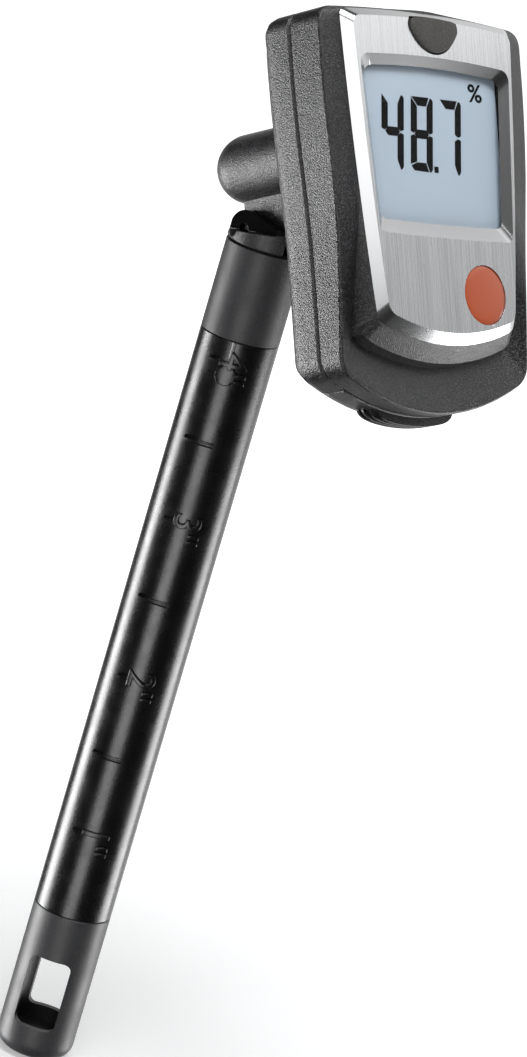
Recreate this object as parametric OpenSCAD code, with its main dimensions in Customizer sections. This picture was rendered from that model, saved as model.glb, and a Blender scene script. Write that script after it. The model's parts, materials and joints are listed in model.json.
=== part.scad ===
// Digital thermo-hygrometer: a display head on a folding, turning neck, on a thin probe stick.
// The origin is the middle of the plain tube, on its axis. Z runs up the stick.

/* [Stick] */
// Diameter of the stick
stick_d = 12; // [10.5:0.1:15]
// Length of the plain tube between its two seams
tube_len = 93.3; // [70:0.1:120]
// Wall of the plain tube
tube_wall = 1.2; // [1:0.1:1.4]
// Length of the smooth sleeve above the tube
sleeve_len = 13.8; // [12:0.1:18]
// Length of the sensor cap at the lower end
cap_len = 24; // [22:0.1:32]
// Rounding of the cap's end
cap_round = 2.6; // [1.5:0.1:3]
// Chamfer that makes each seam a dark groove
seam_chamfer = 0.25; // [0.1:0.05:0.4]

/* [Sensor window] */
// Width of the window that goes right through the cap
window_w = 6.5; // [5:0.1:7]
// Height of the window
window_h = 11.4; // [9:0.1:13]
// Corner radius of the window
window_r = 1.2; // [0.6:0.1:2]
// Depth of the window's top edge below the cap's upper end
window_drop = 7.3; // [7:0.1:9]
// Wall of the cap round its chamber
cap_wall = 1.1; // [0.9:0.1:1.3]

/* [Neck] */
// Swivel angle of the neck, from the display facing the way the window faces
swivel = 55; // [-90:1:90]
// Fold angle of the head, from the display facing square to the stick
fold = 28.36; // [0:0.01:90]
// Height of the hinge pin above the neck's seam
pin_rise = 1.63; // [1.5:0.01:2]
// Distance of the hinge pin behind the stick's axis
pin_back = 2; // [1.5:0.1:2.2]
// Diameter of the hinge pin
pin_d = 2; // [1.6:0.1:2.2]
// Thickness of the neck across its two dark flats
cheek_w = 7; // [6.4:0.1:7.6]
// Width of the slot between the cheeks
slot_w = 4; // [3.6:0.1:4.2]
// Radius of the cheeks' back corner round the pin
cheek_r = 3; // [2.6:0.1:3.2]
// Length of the journal that turns inside the sleeve
journal_len = 6; // [5.5:0.1:8]

/* [Arm] */
// Diameter of the round barrel behind the head
barrel_d = 10.4; // [9:0.1:10.8]
// Length of the barrel from the head to where its dome starts
barrel_len = 23.1; // [18:0.1:28]
// Distance from the head's rear face to the hinge pin
arm_reach = 22.37; // [18:0.01:27]
// Height of the barrel's axis above the hinge pin
arm_lift = 9.43; // [9.43:0.01:11]
// Thickness of the web that enters the neck's slot
web_t = 3.4; // [3:0.1:3.6]
// Radius of the web's eye round the pin
eye_r = 2.6; // [2.2:0.1:2.8]

/* [Case] */
// Half width of the case at its top
case_hw_top = 21.1; // [19:0.1:25]
// Half width of the case at its bottom
case_hw_bottom = 19.65; // [17.6:0.05:23.5]
// Height of the case's top edge above the barrel axis, at the corners
case_top = 15.7; // [15:0.1:18]
// Rise of the top edge's arch in the middle
case_top_arch = 1; // [0.5:0.1:2]
// Depth of the case's bottom edge below the barrel axis, at the corners
case_bottom = 35.2; // [34:0.1:42]
// Fall of the bottom edge's arch in the middle
case_bottom_arch = 5.6; // [3:0.1:7]
// Wall of the two shells
case_wall = 1.7; // [1.4:0.1:2]
// Depth of the rear shell, up to the parting groove
rear_depth = 6.5; // [6.5:0.1:8]
// Depth of the front shell's rim at the top
rim_depth_top = 12.5; // [12:0.1:13]
// Depth of the front shell's rim at the bottom
rim_depth_bottom = 10.1; // [9.8:0.1:11]
// Rounding of the rear shell's back edge
back_round = 3.2; // [2:0.1:4]
// Chamfer that makes the parting groove
groove = 0.4; // [0.2:0.05:0.5]

/* [Bezel] */
// Depth of the bezel's outer edge, in front of the rear face
bezel_depth = 13.2; // [13:0.1:14]
// Depth of the bezel's front face
front_depth = 14.6; // [14.4:0.1:16]
// Half width of the bezel's front face at its top
bezel_hw = 16.5; // [15:0.1:19]
// Width of the bezel's side bevel
bezel_bevel = 1.25; // [0.8:0.05:1.5]
// Half width of the window's front edge, top and bottom
window_hw = [15.6, 13.9]; // [13:0.1:16]
// Height of the window's front edge above and below the barrel axis
window_z = [9.0, 16.1]; // [8:0.1:17]
// Width of the bevel round the window
window_bevel = [1.45, 2.2]; // [0.8:0.05:2.5]
// Diameter of the badge's place
badge_d = 8.6; // [6:0.1:10]
// Place of the badge, right of and below the barrel axis
badge_at = [7.05, -24.05]; // [-25:0.05:8]

/* [Button] */
// Width of the button
button_w = 10; // [8:0.1:12]
// Height of the button
button_h = 5; // [4:0.1:6]
// How far the button stands proud of the bezel
button_proud = 0.5; // [0.2:0.1:0.8]
// Travel of the button
button_travel = 0.8; // [0.4:0.1:0.8]

/* [Battery] */
// Half width of the battery cover
cover_hw = 13.75; // [13.4:0.05:15]
// Height of the cover's top edge, below the barrel axis
cover_top = 12.5; // [11:0.1:13]
// Half width of the ribbed thumb tab
tab_hw = 9.4; // [6:0.1:11]
// Height of the thumb tab
tab_h = 1.2; // [0.6:0.1:1.6]

/* [Hidden] */

// Clearances: a running fit, a seat that is glued or pressed, a gap between loose neighbours
running = 0.05;
seat = 0.03;
gap = 0.25;
// Room round a lens, a cell, a rail or a screw's head
loose = 0.15;
// Overrun of a cut past the face that it opens, and how far one shape of a solid is sunk in the next
over = 1;
sunk = 0.5;

// Heights on the stick
seam_cap = -tube_len / 2;
seam_sleeve = tube_len / 2;
seam_neck = seam_sleeve + sleeve_len;
tip = seam_cap - cap_len;
stick_r = stick_d / 2;
tube_r = stick_r - tube_wall;

// Sensor cap
spigot_len = 6.5;
spigot_wall = 1.3;
chamber_r = stick_r - cap_wall;
// How far the chamber reaches above and below the window
chamber_over = 1.3;
chamber_under = 2.3;
chamber_top = seam_cap - window_drop + chamber_over;
chamber_bottom = seam_cap - window_drop - window_h - chamber_under;
seal_h = 1.2;
seal_rise = 3;
seal_z = seam_cap + seal_rise;
seal_depth = 0.7;
holder_rise = 0.6;
board_w = 5.2;
board_t = 0.8;
board_rise = 9;
board_hang = 0.8;
board_top = seam_cap + board_rise;
board_bottom = chamber_top - board_hang;
// Humidity sensor: its sides on the board, its height and thickness
chip_x = [-1.6, 0.6];
chip_h = 1.4;
chip_t = 0.7;
// Temperature bead: its radius and its place, right of the middle and above the board's end
bead_r = 0.7;
bead_at = [1.7, 0.5];

// Neck, journal and clip
sleeve_wall = 1.4;
journal_r = stick_r - sleeve_wall;
washer_t = 0.4;
shoulder_len = 4;
// The clip stands proud of the journal by its lip and turns freely in the sleeve's socket
clip_t = 0.7;
clip_lip = 0.45;
clip_room = 0.2;
clip_mouth = 2.4;
clip_r = journal_r + clip_lip;
clip_groove = 0.7;
// The tube's upper end, which is glued into the sleeve's socket
coupling_len = 5.4;
coupling_wall = 1;
coupling_root = 2;
coupling_r = clip_r + clip_room;
lead_r = 0.9;
lead_bore_r = 1.5;
lead_in = 1.5;
eye_room = 0.3;
slot_floor = pin_rise - eye_r - eye_room;
// Side outline of the neck: height in front, point where the slope starts, height at the back
neck_front = 3.6;
neck_nose = [-5.3, 3.93];
neck_back = 0.67;
neck_blank = 8;
// The sloped rim round the two flats, and the block that cuts each flat
flat_slope = 11.86;
flat_z = 1.93;
flat_cut = [8, 30, 10];
// How far the hinge pin lies below each flat
pin_sunk = 0.55;
// Web: its lower edge at the head, its back edge behind the pin, where it meets the eye
web_root = 7.6;
web_back = 1.23;
web_in = 1;
web_tangent = 249.5;
// What is left solid behind the arm's blind bore
bore_end = 2;

// Standard button cells, 11.6 mm across and 5.4 mm thick
cell_d = 11.6;
cell_t = 5.4;

// Layers of the head, as depths in front of the rear face
contact_t = 0.2;
cell_back = case_wall + 0.4;
cell_front = cell_back + cell_t;
leaf_t = 0.3;
tray_floor = 0.7;
tray_lip = 0.4;
tray_front = cell_front + leaf_t + tray_floor;
board_back = tray_front + 0.2;
pcb_t = 1;
board_front = board_back + pcb_t;
frame_t = 1.2;
frame_front = board_front + frame_t;
lcd_t = 1.9;
lcd_front = frame_front + lcd_t;
lens_t = 0.8;
lens_back = lcd_front + running;
lens_front = lens_back + lens_t;
bezel_backing = 1.2;
inner_front = bezel_depth - bezel_backing;
rim_wall = 1;

// Button, its stem and the key dome under it
key_z = case_top - 3.4;
dome_h = 0.6;
dome_r = [2.2, 1.5];
stem_r = 1.2;
stem_end = board_front + dome_h + button_travel + running;
button_root = 0.6;
button_drop = 0.35;
button_arch = 0.2;
button_corner = 1.3;
button_tuck = 0.1;
button_belly = 0.62;

// Moat round the raised middle: its depth, the depth of the middle's side, where it opens
moat_depth = 9.2;
surround_depth = 11;
moat_range = [-10, -30];
foot_gap = 1.5;
surround_drop = 2.3;
foot_level = -28;
wall_lean = 0.35;
band_slope = 0.2;
// The rim's rounding, and how its depth falls: where the fall starts, its run and its bend
rim_round = 0.45;
rim_from = -5;
rim_run = 35;
rim_bend = 0.55;

// Outlines: where the case narrows, the bezel's taper and bend below its shoulder, corners, arches
case_waist = [-21, 8];
case_corner = [2.5, 2.2];
least_corner = 0.8;
bezel_shoulder = 15.4;
bezel_taper = 0.0402;
bezel_bend = 0.000895;
bezel_corner = 1.4;
bezel_top = [0.15, -0.6];
bezel_low = [-29.85, -27.4];
bezel_top_bevel = 0.4;
bezel_bottom_bevel = 1.55;
// The bottom bevel is narrower at the bezel's corners
bevel_share = 0.75;
// Hollow of the raised middle, and how far the circuit board lies inside it
hollow_side = 0.05;
hollow_top = [1.1, 1.8];
hollow_low = [-29.8, -28];
pcb_inset = 0.4;

// Display stack
lcd_hw = 14.4;
lcd_z = [8.8, -15.1];
pocket_gap = 0.2;
lens_hw = [15.3, 13.9];
lens_z = [8.7, -15.2];
lens_arch = 0.5;
lens_corner = [1, 0.8];
// Arch of the window's upper and lower edge, and its corners
window_arch = [0.7, 0.2];
window_corner = [1.8, 1.2];
// Opening of the frame round the display, and the contact strips above and below it
frame_hw = 12.8;
frame_z = [-12.6, 6.3];
strip_hw = 12;
strip_z = [7.4, -13.7];
strip_h = 1.2;
strip_room = 0.1;
// Badge: depth of its recess, height of its edge, lip, thickness and fall of its dome
badge_recess = 0.5;
badge_edge = 0.3;
badge_lip = 0.3;
badge_t = 0.52;
badge_dome = 0.07;
badge_steps = 4;
// Chip on the back of the board, and the hole where the wires are soldered
controller_hw = 3.5;
controller_z = [-9.5, -2.5];
controller_t = 1.1;
solder_r = 0.5;
solder_x = 3;

// Screws
screw_r = 0.8;
screw_head_r = 1.75;
screw_head_t = 1.2;
screw_seat = 4.2;
screw_len = 6;
boss_r = 2.9;
screw_places = [[18.4, 11.5], [-18.4, 11.5], [17.2, -14], [-17.2, -14]];
arm_screw_x = 3.2;
arm_screw_in = 6;
arm_head_r = 1.5;
arm_head_t = 1.1;
pilot_end = 0.5;

// Battery bay
cell_pitch = 6.1;
cell_rows = [-30.4, -19.9];
cell_places = [[cell_pitch, cell_rows[0]], [-cell_pitch, cell_rows[0]], [0, cell_rows[1]]];
cell_ledge = 1.5;
leaf = [7, 3];
cell_bay_hw = 12.9;
cell_bay_z = [-37.2, -27.5];
tray_hw = 12.7;
tray_z = [-37, -13.4];
tray_corner = 7.5;
foot_top = -30;
foot_room = 30;
// Contact plate: its reach past the outer cells' middles, above and below a row, and its narrow end
plate_side = 4.9;
plate_half = 3.6;
plate_end = 5;
rail_w = 1;
rail_t = 0.7;
rail_root = 1;
rail_level = case_wall + loose;
rail_top = screw_places[2][1] - boss_r - 0.5;
rail_low = -case_bottom + case_wall;
guide_t = 0.8;
guide_slack = 0.3;
guide_depth = rail_level + rail_t + gap + guide_t / 2;
// Thumb tab: ribs from front to back, their thickness, spacing, the height of the web between them
tab_ribs = 4;
rib_t = 0.4;
rib_pitch = 0.8;
rib_back = 0.25;
tab_web = 0.35;

$fn = 64;

// Smooth step from 0 at a to 1 at b
function ease(a, b, v) = let (t = min(1, max(0, (v - a) / (b - a)))) t * t * (3 - 2 * t);
function mix(a, b, t) = a + (b - a) * t;
// Height of a shallow arch at x, from its middle and its edge
function arch(mid, edge, xc, x) = mid + (edge - mid) * pow(x / xc, 2);
// Point on a curve from a to b that bends round the corner c
function bend(a, c, b, t) = (1 - t) * (1 - t) * a + 2 * t * (1 - t) * c + t * t * b;

// Half widths of the head's outlines at height z
function case_w(z) = mix(case_hw_bottom, case_hw_top, ease(case_waist[0], case_waist[1], z));
function bezel_w(z) =
    let (below = max(0, bezel_shoulder - z))
    bezel_hw - bezel_taper * below - bezel_bend * below * below;

// Right half of an outline, from the middle of its top to the middle of its bottom.
// w gives the half width, top and bottom are [middle, edge], r is [top corner, bottom corner].
arch_steps = 7;
corner_steps = 6;
side_steps = 9;
function half_outline(w, top, bottom, r) =
    let (
        xt = w(top[1]),
        xb = w(bottom[1]),
        zt = top[1] - r[0],
        zb = bottom[1] + r[1],
        ta = [xt - r[0], arch(top[0], top[1], xt, xt - r[0])],
        tb = [w(zt), zt],
        ba = [w(zb), zb],
        bb = [xb - r[1], arch(bottom[0], bottom[1], xb, xb - r[1])]
    )
    concat(
        [
            for (i = [0:arch_steps - 1])
                let (x = ta[0] * i / arch_steps)
                [x, arch(top[0], top[1], xt, x)]
        ],
        [for (i = [0:corner_steps - 1]) bend(ta, [xt, top[1]], tb, i / corner_steps)],
        [for (i = [0:side_steps - 1]) let (z = mix(zt, zb, i / side_steps)) [w(z), z]],
        [for (i = [0:corner_steps - 1]) bend(ba, [xb, bottom[1]], bb, i / corner_steps)],
        [
            for (i = [0:arch_steps])
                let (x = bb[0] * (1 - i / arch_steps))
                [x, arch(bottom[0], bottom[1], xb, x)]
        ]
    );
function mirrored(half) = concat(half, [for (i = [len(half) - 2:-1:1]) [-half[i][0], half[i][1]]]);
function outline(w, top, bottom, r) = mirrored(half_outline(w, top, bottom, r));

// Outlines of the head, each drawn in by d
function case_ring(d) = outline(
    function (z) case_w(z) - d,
    [case_top + case_top_arch - d, case_top - d],
    [-case_bottom - case_bottom_arch + d, -case_bottom + d],
    [for (r = case_corner) max(least_corner, r - d)]
);
function bezel_ring(grow, top_grow, drop) = outline(
    function (z) bezel_w(z) + grow,
    [case_top + bezel_top[0] + top_grow, case_top + bezel_top[1] + top_grow],
    [bezel_low[0] - drop, bezel_low[1] - bevel_share * drop],
    [bezel_corner, bezel_corner]
);
edge_ring = bezel_ring(bezel_bevel, bezel_top_bevel, bezel_bottom_bevel);
// Hollow of the front shell's raised middle, drawn in by d
function hollow_ring(d) = outline(
    function (z) bezel_w(z) + hollow_side - d,
    [case_top - hollow_top[0] - d, case_top - hollow_top[1] - d],
    [hollow_low[0] + d, hollow_low[1] + d],
    [bezel_corner, bezel_corner]
);

// How far the moat has opened at height z, and the depth of the front shell's rim there
function moat(z) = ease(moat_range[0], moat_range[1], z);
function rim_depth(z) =
    let (u = min(1, max(0, (rim_from - z) / rim_run)))
    mix(rim_depth_top, rim_depth_bottom, mix(u, u * u, rim_bend));

// A solid through rings of points that have the same number of points, closed at both ends
module loft(rings) {
    n = len(rings[0]);
    m = len(rings);
    middle = function (ring) [for (k = [0:2]) (ring[0][k] + ring[floor(n / 2)][k]) / 2];
    points = concat([for (ring = rings) each ring], [middle(rings[0]), middle(rings[m - 1])]);
    sides = [
        for (j = [0:m - 2], i = [0:n - 1])
            let (a = j * n + i, b = j * n + (i + 1) % n)
            each [[a, b, b + n], [a, b + n, a + n]]
    ];
    back = [for (i = [0:n - 1]) [m * n, (i + 1) % n, i]];
    front = [for (i = [0:n - 1]) [m * n + 1, (m - 1) * n + i, (m - 1) * n + (i + 1) % n]];
    polyhedron(points, concat(sides, back, front), convexity = 8);
}
// A flat outline set at one depth of the head
function at_depth(ring, depth) = [for (p = ring) [p[0], -depth, p[1]]];

// Places: the neck stands on the sleeve, the head hangs on the hinge pin
module at_neck() {
    translate([0, 0, seam_neck]) rotate([0, 0, swivel]) children();
}
module at_pin() {
    at_neck() translate([0, pin_back, pin_rise]) rotate([-fold, 0, 0]) children();
}
module on_head() {
    at_pin() translate([0, -arm_reach, arm_lift]) children();
}
// A flat shape in the head's x and z, thick from one depth to another
module layer(from, to) {
    rotate([90, 0, 0]) translate([0, 0, from]) linear_extrude(to - from, convexity = 6) children();
}
// A round bar along the head's depth
module bar(r, from, to, x = 0, z = 0) {
    translate([x, 0, z]) rotate([90, 0, 0]) translate([0, 0, from]) cylinder(r = r, h = to - from);
}
// A bar along x through the point given in y and z
module cross_bar(r, length, y = 0, z = 0) {
    translate([0, y, z]) rotate([0, 90, 0]) cylinder(r = r, h = length, center = true);
}
module box_between(low, high) {
    translate(low) cube(high - low);
}
module tube(r_out, r_in, from, to) {
    translate([0, 0, from]) difference() {
        cylinder(r = r_out, h = to - from);
        translate([0, 0, -over]) cylinder(r = r_in, h = to - from + 2 * over);
    }
}

// Stick
module shaft_tube() {
    // The tube with its bore, its seam chamfers and the spigot that enters the sleeve
    color("#2b2b2d") rotate_extrude() polygon([
        [tube_r, seam_cap],
        [stick_r - seam_chamfer, seam_cap],
        [stick_r, seam_cap + seam_chamfer],
        [stick_r, seam_sleeve - seam_chamfer],
        [stick_r - seam_chamfer, seam_sleeve],
        [coupling_r - seat, seam_sleeve],
        [coupling_r - seat, seam_sleeve + coupling_len],
        [coupling_r - coupling_wall, seam_sleeve + coupling_len],
        [coupling_r - coupling_wall, seam_sleeve - coupling_root],
        [tube_r, seam_sleeve - coupling_root - coupling_wall]
    ]);
}
module neck_sleeve() {
    // The sleeve: a narrow bearing bore at the top, a wide socket for clip and tube below its shoulder
    top = seam_neck - washer_t / 2;
    shoulder = seam_neck - shoulder_len;
    color("#232325") rotate_extrude() polygon([
        [coupling_r, seam_sleeve],
        [stick_r - seam_chamfer, seam_sleeve],
        [stick_r, seam_sleeve + seam_chamfer],
        [stick_r, top - seam_chamfer],
        [stick_r - seam_chamfer, top],
        [journal_r + running, top],
        [journal_r + running, shoulder],
        [coupling_r, shoulder]
    ]);
}
module window_cut() {
    // The window right through the cap, front to back
    middle = seam_cap - window_drop - window_h / 2;
    side = window_w / 2 - window_r;
    rise = window_h / 2 - window_r;
    translate([0, 0, middle]) rotate([90, 0, 0])
        linear_extrude(2 * (stick_r + over), center = true)
            hull() for (x = [-side, side], z = [-rise, rise])
                translate([x, z]) circle(r = window_r, $fn = 32);
}
module sensor_cap() {
    // The cap turned as one profile: spigot, seal groove, chamber and rounded end
    spigot_r = tube_r - seat;
    bore_r = spigot_r - spigot_wall;
    round_steps = 8;
    end_arc = [
        for (i = [0:round_steps])
            let (a = 90 * i / round_steps)
            [stick_r - cap_round + cap_round * sin(a), tip + cap_round - cap_round * cos(a)]
    ];
    color("#2a2a2c") difference() {
        rotate_extrude() polygon(concat(
            [[0, tip]],
            end_arc,
            [
                [stick_r, seam_cap - seam_chamfer],
                [stick_r - seam_chamfer, seam_cap],
                [spigot_r, seam_cap],
                [spigot_r, seal_z - seal_h / 2],
                [spigot_r - seal_depth, seal_z - seal_h / 2],
                [spigot_r - seal_depth, seal_z + seal_h / 2],
                [spigot_r, seal_z + seal_h / 2],
                [spigot_r, seam_cap + spigot_len],
                [bore_r, seam_cap + spigot_len],
                [bore_r, chamber_top],
                [chamber_r, chamber_top],
                [chamber_r, chamber_bottom],
                [0, chamber_bottom]
            ]
        ));
        window_cut();
    }
}
module cap_seal() {
    color("#151515") tube(tube_r - running, tube_r - seat - seal_depth + running,
        seal_z - seal_h / 2 + running, seal_z + seal_h / 2 - running);
}
module sensor_holder() {
    // Plug in the spigot that grips the board in a slot
    holder_r = tube_r - seat - spigot_wall - running;
    from = chamber_top + holder_rise;
    color("#3c3c40") difference() {
        translate([0, 0, from]) cylinder(r = holder_r, h = seam_cap + spigot_len - from);
        translate([0, 0, seam_cap])
            cube([board_w + 2 * running, board_t + 2 * running, 2 * cap_len], center = true);
    }
}
module sensor_board() {
    color("#1f5c3a") box_between(
        [-board_w / 2, -board_t / 2, board_bottom],
        [board_w / 2, board_t / 2, board_top]
    );
}
module humidity_sensor() {
    // Flat sensor on the lower end of the board's front
    color("#e8e4d8") box_between(
        [chip_x[0], -board_t / 2 - chip_t, board_bottom],
        [chip_x[1], -board_t / 2, board_bottom + chip_h]
    );
}
module temperature_bead() {
    color("#5a2d1c") translate([bead_at[0], -board_t / 2 - bead_r, board_bottom + bead_at[1]])
        sphere(r = bead_r, $fn = 24);
}
module shaft_lead() {
    // Wires from the board up to the journal's bore, inside the tube
    color("#8a1c1c") translate([0, 0, board_top])
        cylinder(r = lead_r, h = seam_neck - journal_len + lead_in - board_top);
}

// Neck
module cheek_profile() {
    // Side outline of the neck above its seam, in y and z: sloped front, corner round the pin
    arc_steps = 12;
    polygon(concat(
        [[-stick_r - over, 0], [-stick_r - over, neck_front], neck_nose],
        [
            for (i = [0:arc_steps])
                let (a = 90 - 90 * i / arc_steps)
                [pin_back + cheek_r * cos(a), pin_rise + cheek_r * sin(a)]
        ],
        [[stick_r + over, neck_back], [stick_r + over, 0]]
    ));
}
module neck_fork() {
    seam = washer_t / 2;
    color("#303032") at_neck() difference() {
        union() {
            difference() {
                intersection() {
                    translate([0, 0, seam]) union() {
                        cylinder(r1 = stick_r - seam_chamfer, r2 = stick_r, h = seam_chamfer);
                        translate([0, 0, seam_chamfer]) cylinder(r = stick_r, h = neck_blank);
                    }
                    rotate([90, 0, 90]) linear_extrude(2 * stick_r + over, center = true) cheek_profile();
                }
                // The flats: what lies outside the cheeks above the sloped rim is cut away
                for (side = [-1, 1])
                    translate([0, 0, flat_z]) rotate([-flat_slope, 0, 0])
                        translate([side * (cheek_w + flat_cut[0]) / 2, 0, flat_cut[2] / 2])
                            cube(flat_cut, center = true);
            }
            translate([0, 0, -journal_len]) cylinder(r = journal_r, h = journal_len + sunk);
        }
        // The slot for the web, the pin's bore, the clip's groove and the bore for the wires
        box_between([-slot_w / 2, -stick_r - over, slot_floor],
            [slot_w / 2, stick_r + over, neck_blank + over]);
        cross_bar(pin_d / 2 + seat, 2 * stick_r + over, pin_back, pin_rise);
        tube(journal_r + over, journal_r - clip_groove,
            -shoulder_len - clip_t - 2 * running, -shoulder_len);
        translate([0, 0, -journal_len - over]) cylinder(r = lead_bore_r, h = journal_len + neck_blank);
    }
}
module hinge_pin() {
    // Pressed through both cheeks, with its ends below their flats
    color("#b9bcc0") at_neck() cross_bar(pin_d / 2, cheek_w - 2 * pin_sunk, pin_back, pin_rise);
}
module friction_washers() {
    // Two thin washers, one on each side of the web
    thickness = (slot_w - web_t) / 2 - 2 * running;
    color("#e9e6da") at_neck() for (side = [-1, 1])
        translate([side * (slot_w + web_t) / 4, pin_back, pin_rise]) rotate([0, 90, 0])
            tube(eye_r - 2 * running, pin_d / 2 + running, -thickness / 2, thickness / 2);
}
module swivel_washer() {
    // The dark ring between neck and sleeve
    color("#101010") tube(stick_r - 2 * seam_chamfer, journal_r + running,
        seam_neck - washer_t / 2 + running / 2, seam_neck + washer_t / 2 - running / 2);
}
module swivel_clip() {
    // Open spring ring in the journal's groove, under the sleeve's shoulder
    color("#9a9da1") at_neck() translate([0, 0, -shoulder_len - clip_t - running]) difference() {
        cylinder(r = clip_r, h = clip_t);
        translate([0, 0, -over]) cylinder(r = journal_r - clip_groove + running, h = clip_t + 2 * over);
        translate([-clip_mouth / 2, 0, -over]) cube([clip_mouth, stick_r, clip_t + 2 * over]);
    }
}

// Arm
module hinge_arm() {
    // Barrel with its dome, and the web below it that ends in an eye round the pin
    barrel_r = barrel_d / 2;
    color("#343436") on_head() difference() {
        union() {
            rotate([90, 0, 0]) translate([0, 0, -barrel_len]) cylinder(r = barrel_r, h = barrel_len);
            translate([0, barrel_len, 0]) intersection() {
                sphere(r = barrel_r);
                translate([0, barrel_r, 0]) cube(2 * barrel_r, center = true);
            }
            translate([-web_t / 2, 0, 0]) rotate([90, 0, 90]) linear_extrude(web_t) polygon([
                [0, -barrel_r + web_in],
                [0, -web_root],
                [arm_reach + eye_r * cos(web_tangent), -arm_lift + eye_r * sin(web_tangent)],
                [arm_reach + web_back, -arm_lift],
                [arm_reach + web_back, -barrel_r + web_in]
            ]);
            cross_bar(eye_r, web_t, arm_reach, -arm_lift);
        }
        cross_bar(pin_d / 2 + running, 2 * barrel_d, arm_reach, -arm_lift);
        bar(lead_bore_r, -barrel_len + bore_end, over);
        for (side = [-1, 1])
            bar(screw_r + seat, -arm_screw_in - pilot_end, over, side * arm_screw_x);
    }
}
module arm_screws() {
    color("#8f9296") on_head() for (side = [-1, 1]) {
        bar(screw_r, -arm_screw_in, case_wall + seat, side * arm_screw_x);
        bar(arm_head_r, case_wall + seat, case_wall + arm_head_t, side * arm_screw_x);
    }
}
module head_lead() {
    // Wires from the arm's bore to the circuit board
    color("#8a1c1c") on_head() bar(lead_r, -barrel_len + 2 * bore_end, board_back - seat);
}

// Head shells
back_step = 22.5;
back_rings = [
    for (a = [0:back_step:90])
        at_depth(case_ring(back_round * (1 - sin(a))), back_round * (1 - cos(a)))
];
module rear_outside() {
    loft(concat(
        back_rings,
        [
            at_depth(case_ring(0), rear_depth - groove),
            at_depth(case_ring(groove), rear_depth)
        ]
    ));
}
module cover_zone(slack, front) {
    // The space that the battery cover fills: its plate, and its foot below, up to the depth front.
    // The foot is as wide as the rails, so that they pass through its gap when the cover slides.
    hw = cover_hw + slack;
    foot_hw = hw + rail_w;
    low = -case_bottom - case_bottom_arch - over;
    box_between([-hw, -case_wall - slack, low], [hw, over, -cover_top + slack]);
    box_between([-foot_hw, -front, low], [foot_hw, over, rail_low + slack]);
}
module inner_space() {
    // The hollow of the case behind the front shell
    layer(case_wall, rear_depth + over) polygon(case_ring(case_wall));
}
module rear_shell() {
    rail_in = cover_hw + gap + guide_slack;
    guide_w = case_hw_bottom - rail_in;
    color("#3a3a3c") on_head() difference() {
        union() {
            difference() {
                rear_outside();
                inner_space();
            }
            // Screw bosses, and the guides under the cover's rails
            intersection() {
                rear_outside();
                union() {
                    for (p = screw_places)
                        bar(boss_r, case_wall - sunk, rear_depth, p[0], p[1]);
                    for (side = [-1, 1])
                        translate([side * rail_in, -guide_depth, (rail_low + rail_top) / 2])
                            translate([side * guide_w / 2, 0, 0])
                                cube([guide_w, guide_t, rail_top - rail_low], center = true);
                }
            }
        }
        cover_zone(gap, rear_depth + over);
        for (p = screw_places) {
            bar(screw_head_r + loose, -over, screw_seat, p[0], p[1]);
            bar(screw_r + gap, 0, rear_depth + over, p[0], p[1]);
        }
        bar(lead_bore_r, -over, case_wall + over);
        for (side = [-1, 1])
            bar(screw_r + gap, -over, case_wall + over, side * arm_screw_x);
    }
}
// Rings of the front shell from the parting groove round the rim, through the moat, to the bezel's edge.
// The moat and the raised middle's side go from flush at the top to full depth at the bottom.
function outward(p, q, d) = let (v = p - q, l = norm(v)) q + v * (l < 0.01 ? 0 : d / l);
function moat_ring(flush, lean, depth) = [
    for (i = [0:len(edge_ring) - 1])
        let (
            q = edge_ring[i],
            p = case_ring(0)[i],
            m = moat(q[1]),
            width = (q[1] < foot_level ? surround_drop : foot_gap) + lean,
            out = outward(p, q, mix(flush, width, m))
        )
        [out[0], -mix(bezel_depth - band_slope * flush, depth, m), out[1]]
];
function rim_ring(a) = [
    for (p = case_ring(rim_round * (1 - cos(a))))
        [p[0], -rim_depth(p[1]) + rim_round * (1 - sin(a)), p[1]]
];
module front_outside() {
    loft([
        at_depth(case_ring(groove), rear_depth),
        at_depth(case_ring(0), rear_depth + groove),
        rim_ring(0),
        rim_ring(45),
        rim_ring(90),
        moat_ring(rim_round, wall_lean, moat_depth),
        moat_ring(rim_round - loose, 0, surround_depth),
        at_depth(edge_ring, bezel_depth)
    ]);
}
module lens_outline(grow) {
    polygon(outline(
        function (z) mix(lens_hw[1], lens_hw[0], (z - lens_z[1]) / (lens_z[0] - lens_z[1])) + grow,
        [lens_z[0] + lens_arch + grow, lens_z[0] + grow],
        [lens_z[1] - grow, lens_z[1] - grow],
        lens_corner
    ));
}
module button_outline(grow) {
    // A half round with soft corners whose top follows the bezel's top edge
    r = button_w / 2 + grow;
    top = case_top - button_drop + grow;
    low = top - button_h - 2 * grow;
    start = [r - button_corner, top - button_arch];
    side = [r - button_tuck, top - button_corner - 2 * button_arch];
    top_steps = 3;
    turn_steps = 4;
    belly_steps = 8;
    polygon(mirrored(concat(
        [
            for (i = [0:top_steps - 1])
                let (u = i / top_steps)
                [start[0] * u, top - button_arch * u * u]
        ],
        [for (i = [0:turn_steps]) bend(start, [r, top - button_arch], side, i / turn_steps)],
        [for (i = [1:belly_steps]) bend(side, [r * button_belly, low], [0, low], i / belly_steps)]
    )));
}
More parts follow.
